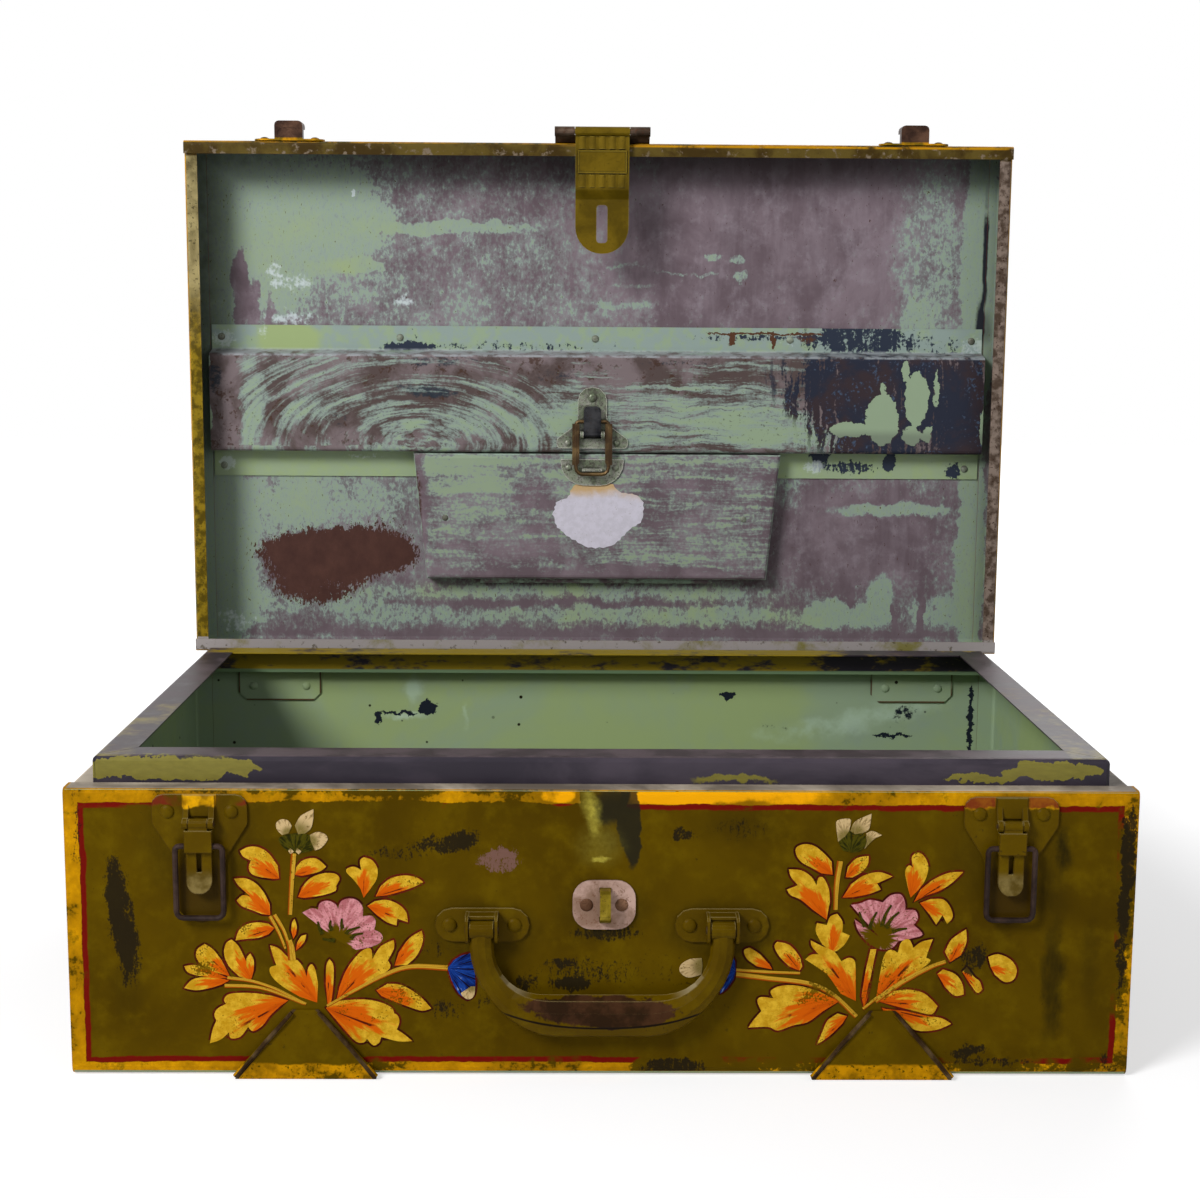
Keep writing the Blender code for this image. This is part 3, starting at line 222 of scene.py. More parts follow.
def tint(code):
    """A paint colour from six hex digits, made linear."""
    parts = [int(code[i:i + 2], 16) / 255 for i in (0, 2, 4)]
    return (*[c / 12.92 if c < 0.041 else ((c + 0.055) / 1.055) ** 2.4 for c in parts], 1.0)


def fade(value, start, end):
    """Nought at start, one at end, with a soft run between."""
    return node("MapRange", {0: value, 1: start, 2: end}, interpolation_type="SMOOTHSTEP")[0]


def blend(share, under, over):
    """One paint over another by a share; a paint is six hex digits or what was blended before."""
    under, over = [tint(paint) if isinstance(paint, str) else paint for paint in (under, over)]
    return node("Mix", {0: share, 6: under, 7: over}, data_type="RGBA")[2]


def axes(where):
    return node("SeparateXYZ", {0: where})


def noise(where, scale, detail=4.0, rough=0.6, distort=0.0):
    into = {"Vector": where, "Scale": scale, "Detail": detail, "Roughness": rough, "Distortion": distort}
    return node("TexNoise", into)[0]


def stretched(where, scale, lean=0.0):
    """Coordinates scaled along each axis, then leaned by degrees about the axis from front to back."""
    return node("Mapping", {"Vector": where, "Rotation": (0, math.radians(lean), 0), "Scale": scale})[0]


def streaks(where, scale, detail=3.0, rough=0.6, lean=0.0):
    return noise(stretched(where, scale, lean), 1.0, detail, rough)


def wobbled(where, scale, amount):
    """The same coordinates pushed about, so that edges run like brushed or chipped paint."""
    push = node("TexNoise", {"Vector": where, "Scale": scale, "Detail": 4.0, "Roughness": 0.65})["Color"]
    centred = vector_calc("SUBTRACT", push, (0.5, 0.5, 0.5))
    sized = node("VectorMath", {0: centred, "Scale": amount}, operation="SCALE")
    return vector_calc("ADD", where, sized)[0]


def start_group(name, inputs):
    """A new shader group on the bench; a tuple makes a vector input, a number a plain one."""
    tree = bpy.data.node_groups.new(name, "ShaderNodeTree")
    for socket, value in inputs.items():
        kind = "NodeSocketVector" if isinstance(value, tuple) else "NodeSocketFloat"
        tree.interface.new_socket(socket, in_out="INPUT", socket_type=kind).default_value = value
    clear_bench(tree)
    return Outputs(tree.nodes.new("NodeGroupInput"))


def end_group(**results):
    """Give the group on the bench its named outputs and hand it over."""
    tree = bench["tree"]
    for name in results:
        tree.interface.new_socket(name, in_out="OUTPUT", socket_type="NodeSocketFloat")
    out = tree.nodes.new("NodeGroupOutput")
    for name, level in results.items():
        tree.links.new(level.socket, out.inputs[name])
    return tree


ORIGIN, UNIT = (0.0, 0.0, 0.0), (1.0, 1.0, 1.0)


def box_edge_group():
    """How far a point lies below a box's nearest face, and on that face how far from its nearest edge."""
    given = start_group("box_edge", {"Where": ORIGIN, "Low": ORIGIN, "High": UNIT})
    above_low = vector_calc("SUBTRACT", given["Where"], given["Low"])
    below_high = vector_calc("SUBTRACT", given["High"], given["Where"])
    x, y, z = axes(vector_calc("MINIMUM", above_low, below_high))
    nearer, farther = least(x, y), most(x, y)
    return end_group(Face=least(nearer, z), Edge=most(nearer, least(farther, z)))


def blot_group():
    """A soft-edged oval: one inside, nought outside."""
    given = start_group("blot", {"Where": ORIGIN, "Centre": ORIGIN, "Reach": UNIT, "Soft": 0.3})
    off = vector_calc("SUBTRACT", given["Where"], given["Centre"])
    far = vector_calc("LENGTH", vector_calc("DIVIDE", off, given["Reach"]))["Value"]
    return end_group(Mask=fade(far, 1.0 + given["Soft"], 1.0 - given["Soft"]))


def mottle_group():
    """Mottled wear in three grain sizes, about one half on average, all three together, and small flecks."""
    given = start_group("mottle", {"Where": ORIGIN, "Broad": 20.0, "Fine": 300.0})
    broad = noise(given["Where"], given["Broad"], 5.0, 0.62, 0.4)
    middle = noise(given["Where"], given["Broad"] * 4.3, 4.0, 0.65)
    fine = noise(given["Where"], given["Fine"], 3.0, 0.6)
    together = broad * 0.5 + middle * 0.3 + fine * 0.2
    flecks = broad * 0.4 - 0.6 + middle * 0.8 + fine
    return end_group(Broad=broad, Middle=middle, Fine=fine, All=together, Flecks=flecks)


BOX_EDGE, BLOT, MOTTLE = box_edge_group(), blot_group(), mottle_group()
ANY = 1000.0


def mottled(where, broad, fine):
    return node("Group", {"Where": where, "Broad": broad, "Fine": fine}, node_tree=MOTTLE)


def blots(where, spots):
    """The sum of soft ovals on the front: x, z, half width, half height in mm, softness, weight."""
    total = 0.0
    for x, z, half_x, half_z, soft, weight in spots:
        centre, reach = (x * MM, 0, z * MM), (half_x * MM, ANY, half_z * MM)
        oval = {"Where": where, "Centre": centre, "Reach": reach, "Soft": soft}
        total = calc("MULTIPLY_ADD", node("Group", oval, node_tree=BLOT)["Mask"], weight, total)
    return total


def end_paint(colour, rough, height, depth=0.1 * MM, metallic=0.0, shine=0.1):
    """Close a material with one Principled shader, its roughness, its bump and how strongly it mirrors."""
    bump = node("Bump", {"Height": height, "Distance": depth, "Strength": 0.6})
    shader = node("BsdfPrincipled", {"Base Color": colour, "Roughness": rough, "Metallic": metallic,
                                     "Normal": bump, "Specular IOR Level": shine})
    node("OutputMaterial", {"Surface": shader})


OLIVE, OLIVE_DARK, OLIVE_LIGHT = "4F3C00", "402F00", "5E4B02"
YELLOW, YELLOW_DEEP, RED_LINE = "AE7A03", "785402", "600D06"
SOOT = "1A150C"
GREEN, GREEN_BLUE, GREEN_LIME = "84957B", "808F89", "8A9A6B"
MAUVE, MAUVE_LIGHT, MAUVE_DARK = "73666D", "8A8088", "5B4E54"


def olive_coat(where):
    """Brushed olive enamel, clouded and flecked."""
    mottle = mottled(where, 14.0, 420.0)
    colour = blend(fade(mottle["Broad"], 0.30, 0.70), OLIVE_DARK, OLIVE)
    colour = blend(fade(mottle["Middle"], 0.45, 0.80) * 0.6, colour, OLIVE_LIGHT)
    flecks = fade(mottle["Fine"] * 0.6 + mottle["Broad"] * 0.4, 0.635, 0.68)
    return blend(flecks * 0.5, colour, SOOT), mottle


def banded(colour, where, edge, mottle, worn):
    """The yellow edge band and the red line inside it, worn off where the last value is high."""
    run = (mottle["Middle"] - 0.5) * (4 * MM) + edge
    kept = mottle["Broad"] + mottle["Middle"] - worn
    red = fade(run, 8.0 * MM, 8.6 * MM) * fade(run, 12.0 * MM, 11.2 * MM)
    colour = blend(red * fade(kept, 0.70, 0.92), colour, RED_LINE)
    brushed = mottle["Broad"] * 0.55 + mottle["Middle"] * 0.45
    yellow = blend(fade(brushed, 0.38, 0.60), YELLOW_DEEP, YELLOW)
    yellow = blend(fade(mottle["All"], 0.52, 0.62) * 0.5, yellow, "C99304")
    dirt = streaks(where, (60, 60, 60), 5.0, 0.75)
    yellow = blend(fade(dirt, 0.54, 0.68) * 0.75, yellow, OLIVE_LIGHT)
    yellow = blend(fade(kept, 1.20, 1.50) * 0.9, yellow, "DC9806")
    ragged = (mottle["Fine"] - 0.5) * 0.5 + kept
    band = fade(run, 8.5 * MM, 8.0 * MM) * fade(ragged, 0.78, 0.92)
    return blend(band, colour, yellow)


def green_inside(where):
    """The sound pale green enamel inside the base, with small black specks."""
    mottle = mottled(where, 7.0, 190.0)
    colour = blend(fade(mottle["Broad"], 0.40, 0.62), GREEN, GREEN_LIME)
    colour = blend(fade(mottle["Middle"], 0.52, 0.8) * 0.5, colour, GREEN_BLUE)
    drops = node("TexVoronoi", {"Vector": where, "Scale": 70.0})
    chance = axes(drops["Color"])["X"]
    specks = fade(drops["Distance"], 0.11, 0.07) * fade(chance, 0.50, 0.52)
    return blend(specks, colour, SOOT), mottle


FRONT_WALL, BACK_WALL = -189.3 * MM, 184.0 * MM
SHEET_SKIN = (0.9 * MM, 0.8 * MM)
BAND_WEAR = [(1, 168, 13.5, 12, 0.12, 2.0), (-25, 167, 12, 7, 0.5, -0.6), (44, 167, 34, 7, 0.6, -0.7),
             (100, 167, 26, 6, 0.6, -0.4), (44, 4, 24, 12, 0.3, 1.0),
             (120, 3, 60, 12, 0.4, 0.34), (225, 5, 60, 12, 0.4, 0.30), (-150, 171, 120, 4, 0.6, 0.22),
             (297, 92, 8, 60, 0.5, 0.30), (-140, 6, 30, 5, 0.5, 0.2), (-120, 158.5, 150, 4, 0.4, 0.5)]
HASP_SCRAPE = [(16, 148, 6, 24, 0.3, 1.0), (5, 162, 13, 11, 0.5, 0.62), (4, 142, 11, 14, 0.9, 0.40)]
PALE_RUB = [(-9, 162, 4, 6, 0.8, 0.8), (-5, 153, 4, 9, 0.8, 0.9), (-1, 129, 4, 2, 0.4, 0.9),
            (-2, 137, 10, 10, 0.9, 0.28)]
SCUFFS = [(-90, 138, 17, 5, 0.5, 1.0), (-78, 142, 8, 5, 0.5, 0.9), (-118, 133, 18, 3, 0.7, 0.62),
          (45, 144, 6, 3.5, 0.4, 1.0), (77, 148, 14, 6, 0.9, 0.56), (216, 17, 8, 3.5, 0.4, 1.0),
          (208, 14, 7, 3, 0.4, 0.9), (42, 5, 18, 6, 0.3, 1.1), (-278, 112, 5, 20, 0.5, 1.1),
          (-274, 92, 6.5, 24, 0.5, 1.1), (-269, 72, 6, 18, 0.5, 1.0), (300, 132, 4.5, 30, 0.3, 1.1),
          (299, 90, 3.2, 40, 0.4, 1.1), (215, 72, 7, 8, 0.6, 1.0), (-18, 55, 11, 4, 0.5, 1.1),
          (-44, 56, 7, 4, 0.7, 0.9), (-6, 63, 30, 7, 0.9, 0.62), (-24, 68, 9, 2, 0.8, 0.7),
          (-90, 40, 10, 6, 0.8, 0.6), (2, 86, 19, 4.5, 0.5, 0.9), (-66, 46, 6, 4, 0.8, 0.6),
          (-96, 76, 8, 4, 0.9, 0.5), (225, 9, 24, 2.5, 0.5, 0.8), (140, 10, 10, 3, 0.6, 0.7),
          (-298, 146, 2.5, 22, 0.6, 0.55), (293, 8, 6, 6, 0.5, 0.6)]
# Smudges of dirt on the front, plus soft ovals round the handle brackets, the latches and the staple plate
# that are painted shadow where those fittings shade the wall.
SMUDGES_AND_SHADE = [(260, 58, 6.5, 32, 0.5, 0.9), (263, 134, 4, 12, 0.6, 0.8), (254, 106, 11, 13, 0.9, 0.45),
           (281, 70, 4, 24, 0.9, 0.35), (-272, 54, 8, 14, 0.9, 0.35), (232, 110, 6, 30, 0.9, 0.3),
           (78, 150, 20, 8, 0.9, 0.35), (-68.5, 87, 31, 17, 0.35, 0.5), (68.5, 87, 31, 17, 0.35, 0.5),
           (-228, 140, 34, 36, 0.4, 0.4), (232, 140, 34, 36, 0.4, 0.45), (1, 100, 25, 17, 0.4, 0.5)]
BARE_PATCH = [(-59, 129, 12, 7, 0.3, 1.0), (-58, 133, 6, 4, 0.3, 0.5)]
INSIDE_BLOTS = [(-128, 137, 7, 5.5, 0.3, 1.1), (-150, 133, 16, 1.6, 0.5, 0.75), (-166, 128, 2.5, 5, 0.5, 1.0),
                (100, 148, 7, 3, 0.4, 0.9), (135, 124, 34, 9, 0.9, 0.40),
                (-40, 128, 26, 8, 0.9, 0.30), (60, 146, 14, 6, 0.9, 0.38), (286, 128, 2, 30, 0.5, 0.9),
                (232, 126, 18, 11, 0.9, 0.42), (226, 117, 15, 1.3, 0.5, 0.8), (238, 138, 12, 6, 0.9, 0.35)]
PALE_RUNS = [(-148, 131, 16, 3, 0.6, 0.8), (-138, 152, 6, 9, 0.5, 0.45), (-100, 130, 2, 9, 0.6, 0.6),
             (150, 117, 26, 5, 0.8, 0.55), (182, 124, 24, 5, 0.8, 0.6), (212, 132, 24, 5, 0.8, 0.6),
             (240, 141, 20, 5, 0.8, 0.5)]


def base_enamel(name, low, high):
    """The base's paint on one folded piece, whose outer faces are those of the given box."""
    material, where = start_paint(name)
    shell = node("Group", {"Where": where, "Low": low, "High": high}, node_tree=BOX_EDGE)
    outside = fade(shell["Face"], *SHEET_SKIN)
    _, y, z = axes(where)
    front = y < FRONT_WALL
    rough_place = wobbled(where, 60, 14 * MM)
    torn_place = wobbled(where, 180, 12 * MM)
    colour, mottle = olive_coat(where)
    worn = blots(where, BAND_WEAR) * front
    colour = banded(colour, where, shell["Edge"], mottle, worn)
    scrape = fade(blots(rough_place, HASP_SCRAPE) * front, 0.25, 0.7)
    colour = blend(scrape * 0.9, colour, "1C1B12")
    rub = blots(rough_place, PALE_RUB) * front * (mottle["Fine"] * 0.9 + 0.1)
    colour = blend(rub, colour, "A3983A")
    scuff = blots(torn_place, SCUFFS) * front
    drag = streaks(where, (420, 420, 130), 3.0, 0.65)
    dust = streaks(where, (900, 900, 620), 2.0, 0.7)
    grain = drag + dust - 1.0
    rubbed = fade(grain * 1.9 + scuff * 0.85, 0.4, 0.8) * fade(scuff, 0.04, 0.25)
    colour = blend(rubbed * 0.92, colour, SOOT)
    # Painted shadow round the fittings, and smudges of dirt.
    smudge_and_shade = blots(rough_place, SMUDGES_AND_SHADE) * front
    colour = blend(smudge_and_shade * (drag * 0.8 + 0.35), colour, "1E1804")
    bare = blots(torn_place, BARE_PATCH) * front
    flaked = fade(grain * 2.4 + bare * 0.8, 0.36, 0.9) * fade(bare, 0.04, 0.25)
    colour = blend(flaked * 0.75, colour, "6C4E4A")
    # The folded shoulder along the top is painted a pale grey-beige.
    shoulder = fade(z, high[2] - 0.8 * MM, high[2] - 0.4 * MM) * outside
    pale_shoulder = blend(fade(mottle["Broad"], 0.35, 0.65), "62594F", "AEA291")
    colour = blend(shoulder * fade(shell["Edge"], 1.2 * MM, 2.2 * MM), colour, pale_shoulder)

    inner, inner_mottle = green_inside(where)
    back_wall = y > BACK_WALL
    pale = blots(rough_place, PALE_RUNS) * back_wall
    inner = blend(pale * fade(inner_mottle["Middle"], 0.35, 0.65), inner, "A9BDAA")
    stain = blots(torn_place, INSIDE_BLOTS) * back_wall
    stain = fade(inner_mottle["Fine"] * 0.6 + stain, 0.74, 0.84)
    inner = blend(stain, inner, "1B2028")
    colour = blend(outside, inner, colour)
    end_paint(colour, mottle["Middle"] * 0.3 + 0.28, mottle["Fine"], 0.06 * MM, shine=0.02)
    return material


def dress(material, *nodes):
    """Give CAD nodes a material."""
    for name in nodes:
        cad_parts[name].data.materials.clear()
        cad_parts[name].data.materials.append(material)


def dress_folded(body, enamel):
    """Paint a body's folded wrap and its two end pans, which together have the width of the wrap."""
    wrap_low, wrap_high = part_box(body + "_wrap")
    end_low, end_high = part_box(body + "_end_left")
    dress(enamel(body + "_enamel", tuple(wrap_low), tuple(wrap_high)), body + "_wrap")
    end_box = (wrap_low.x, end_low.y, end_low.z), (wrap_high.x, end_high.y, end_high.z)
    dress(enamel(body + "_end_enamel", *end_box), body + "_end_left", body + "_end_right")


dress_folded("base", base_enamel)


# Neck
# Four angle strips mitred at the corners make the raised rim that the lid drops over. They are painted
# blue-black, rubbed to mauve primer on top, with old olive left at the ends of the front strip.
NECK_TOP, NECK_FOOT = (184.8 * MM, 185.4 * MM), (170.0 * MM, 169.0 * MM)
NECK_FRONT, NECK_BACK, NECK_SIDE = -170.0 * MM, (154.0 * MM, 154.6 * MM), (268.0 * MM, 272.0 * MM)
neck_paint, where = start_paint("neck_enamel")
mottle = mottled(stretched(where, (0.35, 0.35, 1)), 26.0, 340.0)
x, y, z = axes(where)
colour = blend(fade(mottle["Broad"], 0.38, 0.62), "241F28", "3A333C")
top = fade(z, *NECK_TOP)
rubbed = blend(fade(mottle["Middle"], 0.42, 0.62), "33292C", "4E4246")
colour = blend(top, colour, rubbed)
ragged = wobbled(where, 70, 16 * MM)
OLIVE_ENDS = [(-262, 178, 66, 6.2, 0.12, 1.0), (-240, 181, 36, 5, 0.2, 0.4), (258, 178, 28, 6, 0.12, 1.0),
              (218, 174, 22, 2.4, 0.3, 0.9), (75, 173, 34, 3.2, 0.6, 0.5)]
front = y < NECK_FRONT
old = fade(blots(ragged, OLIVE_ENDS) * front, 0.35, 0.5)
colour = blend(old, colour, blend(mottle["Fine"], "5C5420", "77702C"))
side_top = fade(abs(x), *NECK_SIDE) * top
grubby = fade(mottle["All"] + y * -0.9, 0.52, 0.66)
colour = blend(side_top * grubby, colour, "7A7048")
colour = blend(fade(y, *NECK_BACK) * fade(mottle["All"], 0.46, 0.54), colour, "8A7416")
colour = blend(fade(z, *NECK_FOOT), colour, "6E8564")
end_paint(colour, mottle["Middle"] * 0.4 + 0.2, mottle["Fine"], shine=0.2)
dress(neck_paint, "neck_front", "neck_back", "neck_left", "neck_right")


# Feet
# Pressed wedges let into the lower edge, painted with the body, with a bare dark bead along each slanting
# side where the paint has worn off.
FOOT_HALF_LOW, FOOT_SLANT, BEAD_HALF = 40.5 * MM, 0.825, 1.9 * MM


def foot_paint(name, centre):
    material, where = start_paint("enamel_" + name)
    colour, mottle = olive_coat(where)
    x, _, z = axes(where)
    run = (mottle["Middle"] - 0.5) * (6 * MM) + z
    kept = fade(mottle["All"], 0.45, 0.51) * fade(mottle["Fine"], 0.66, 0.58)
    yellow = blend(fade(mottle["Middle"], 0.38, 0.62), YELLOW_DEEP, YELLOW)
    colour = blend(fade(run, 9.5 * MM, 8.0 * MM) * kept, colour, yellow)
    off = abs(x - centre)
    slant = z * -FOOT_SLANT + FOOT_HALF_LOW
    bead = abs(off - slant) < BEAD_HALF
    steel = blend(fade(mottle["Middle"], 0.4, 0.65), "2A1C0E", "4E3E28")
    colour = blend(bead, colour, steel)
    end_paint(colour, mottle["Middle"] * 0.3 + 0.25, mottle["Fine"], shine=0.02)
    dress(material, name)


for foot in ("foot_front_left", "foot_front_right", "foot_back_left", "foot_back_right"):
    foot_low, foot_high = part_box(foot)
    foot_paint(foot, (foot_low.x + foot_high.x) / 2)


# Painted sprays
# Two flower sprays brushed on the front over the olive: yellow leaves flushed orange from the root and edged
# with a thin maroon line, cream buds, pink and blue flowers. Each stroke is a thin skin of paint on the wall.
FRONT_Y = -190.0 * MM
SKIN_UNDER, NO_GAP = 0.2 * MM, 0.002 * MM


def clean(mesh):
    """Join doubled points, drop slivers and turn every face outward."""
    edit = bmesh.new()
    edit.from_mesh(mesh)
    bmesh.ops.remove_doubles(edit, verts=edit.verts, dist=NO_GAP)
    bmesh.ops.dissolve_degenerate(edit, dist=NO_GAP, edges=edit.edges)
    bmesh.ops.recalc_face_normals(edit, faces=edit.faces)
    edit.to_mesh(mesh)
    edit.free()


class Strokes:
    """Collects painted strokes as thin closed slabs on the front wall, with their own UV map."""

    def __init__(self):
        self.points, self.faces, self.marks = [], [], []

    def skin(self, spots, tops, rim, proud):
        """A closed skin over spots of (x, z, u, v): its top faces, the same faces under it, and its rim."""
        start, under = len(self.points), len(spots)
        for depth in (FRONT_Y - proud, FRONT_Y + SKIN_UNDER):
            self.points += [(x, depth, z) for x, z, _, _ in spots]
            self.marks += [(u, v) for _, _, u, v in spots]
        for top in tops:
            self.faces.append(tuple(start + i for i in top))
            self.faces.append(tuple(start + under + i for i in reversed(top)))
        for a, b in zip(rim, rim[1:] + rim[:1]):
            self.faces.append((start + a, start + b, start + b + under, start + a + under))

    def line(self, right, left, proud):
        """A brush line between its two sides."""
        count = len(right)
        tops = [(i, i + count, i + count + 1, i + 1) for i in range(count - 1)]
        rim = [*range(count), *range(2 * count - 1, count - 1, -1)]
        self.skin(right + left, tops, rim, proud)

    def patch(self, rim, proud):
        """A filled outline."""
        tops = geometry.tessellate_polygon([[Vector((x, z, 0.0)) for x, z, _, _ in rim]])
        self.skin(rim, tops, list(range(len(rim))), proud)

    def make(self, name, material):
        mesh = bpy.data.meshes.new(name)
        mesh.from_pydata(self.points, [], self.faces)
        layer = mesh.uv_layers.new(name="stroke")
        for loop in mesh.loops:
            layer.data[loop.index].uv = self.marks[loop.vertex_index]
        clean(mesh)
        mesh.materials.append(material)
        piece = put(name, mesh)
        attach(piece, "base")


def smooth_run(points, steps):
    """A smooth curve through the points; a point given twice in a row stays a sharp corner."""
    run = []
    ends = [points[0] * 2 - points[1]] + points + [points[-1] * 2 - points[-2]]
    for i in range(1, len(ends) - 2):
        a, b, c, d = ends[i - 1:i + 3]
        if b == c:
            continue
        for step in range(steps):
            t = step / steps
            run.append(0.5 * ((2 * b) + (c - a) * t + (2 * a - 5 * b + 4 * c - d) * t * t
                              + (3 * b - a - 3 * c + d) * t ** 3))
    run.append(points[-1])
    return run


SPRAY_CORNERS = {"left": Vector((-244.2, 164.1)), "right": Vector((38.9, 164.1))}
SPRAY_STEPS = {"left": Vector((0.1144, -0.1184)), "right": Vector((0.143, -0.148))}


def on_front(spray, spots):
    """Places on the front wall, by steps right of and below a spray's corner; a third value marks a tip."""
    (left, top), (right, down) = SPRAY_CORNERS[spray], SPRAY_STEPS[spray]
    places = []
    for spot in spots:
        place = Vector(((left + spot[0] * right) * MM, (top + spot[1] * down) * MM))
        places += [place] * len(spot[1:])
    return places


def leaf(strokes, outline, proud, grow=0.0):
    """A leaf or petal drawn from its root round to its root; the map runs along it and across it."""
    root, rim = outline[0], smooth_run(outline[1:], 4)
    tip = max(rim, key=lambda p: (p - root).length)
    length, along = (tip - root).length, (tip - root).normalized()
    across = Vector((-along.y, along.x))
    if grow:
        twice_area = sum(p.x * q.y - q.x * p.y for p, q in zip(rim, rim[1:] + rim[:1]))
        out = grow if twice_area > 0 else -grow
        sides = [(q - p).normalized() for p, q in zip([root] + rim[:-1], rim[1:] + [root])]
        rim = [p + Vector((side.y, -side.x)) * out for p, side in zip(rim, sides)]
        root = root - along * grow
    marks = []
    for p in [root] + rim:
        marks.append((p.x, p.y, (p - root).dot(along) / length, 0.5 + (p - root).dot(across) / length))
    strokes.patch(marks, proud)


def stem(strokes, points, start_width, end_width, proud):
    """A tapering brush line."""
    run = smooth_run(points, 5)
    left, right = [], []
    for i, p in enumerate(run):
        along = (run[min(i + 1, len(run) - 1)] - run[max(i - 1, 0)]).normalized()
        t = i / (len(run) - 1)
        half = (start_width + (end_width - start_width) * t) / 2
        side = Vector((-along.y, along.x)) * half
        left.append((p.x + side.x, p.y + side.y, t, 1.0))
        right.append((p.x - side.x, p.y - side.y, t, 0.0))
    strokes.line(right, left, proud)


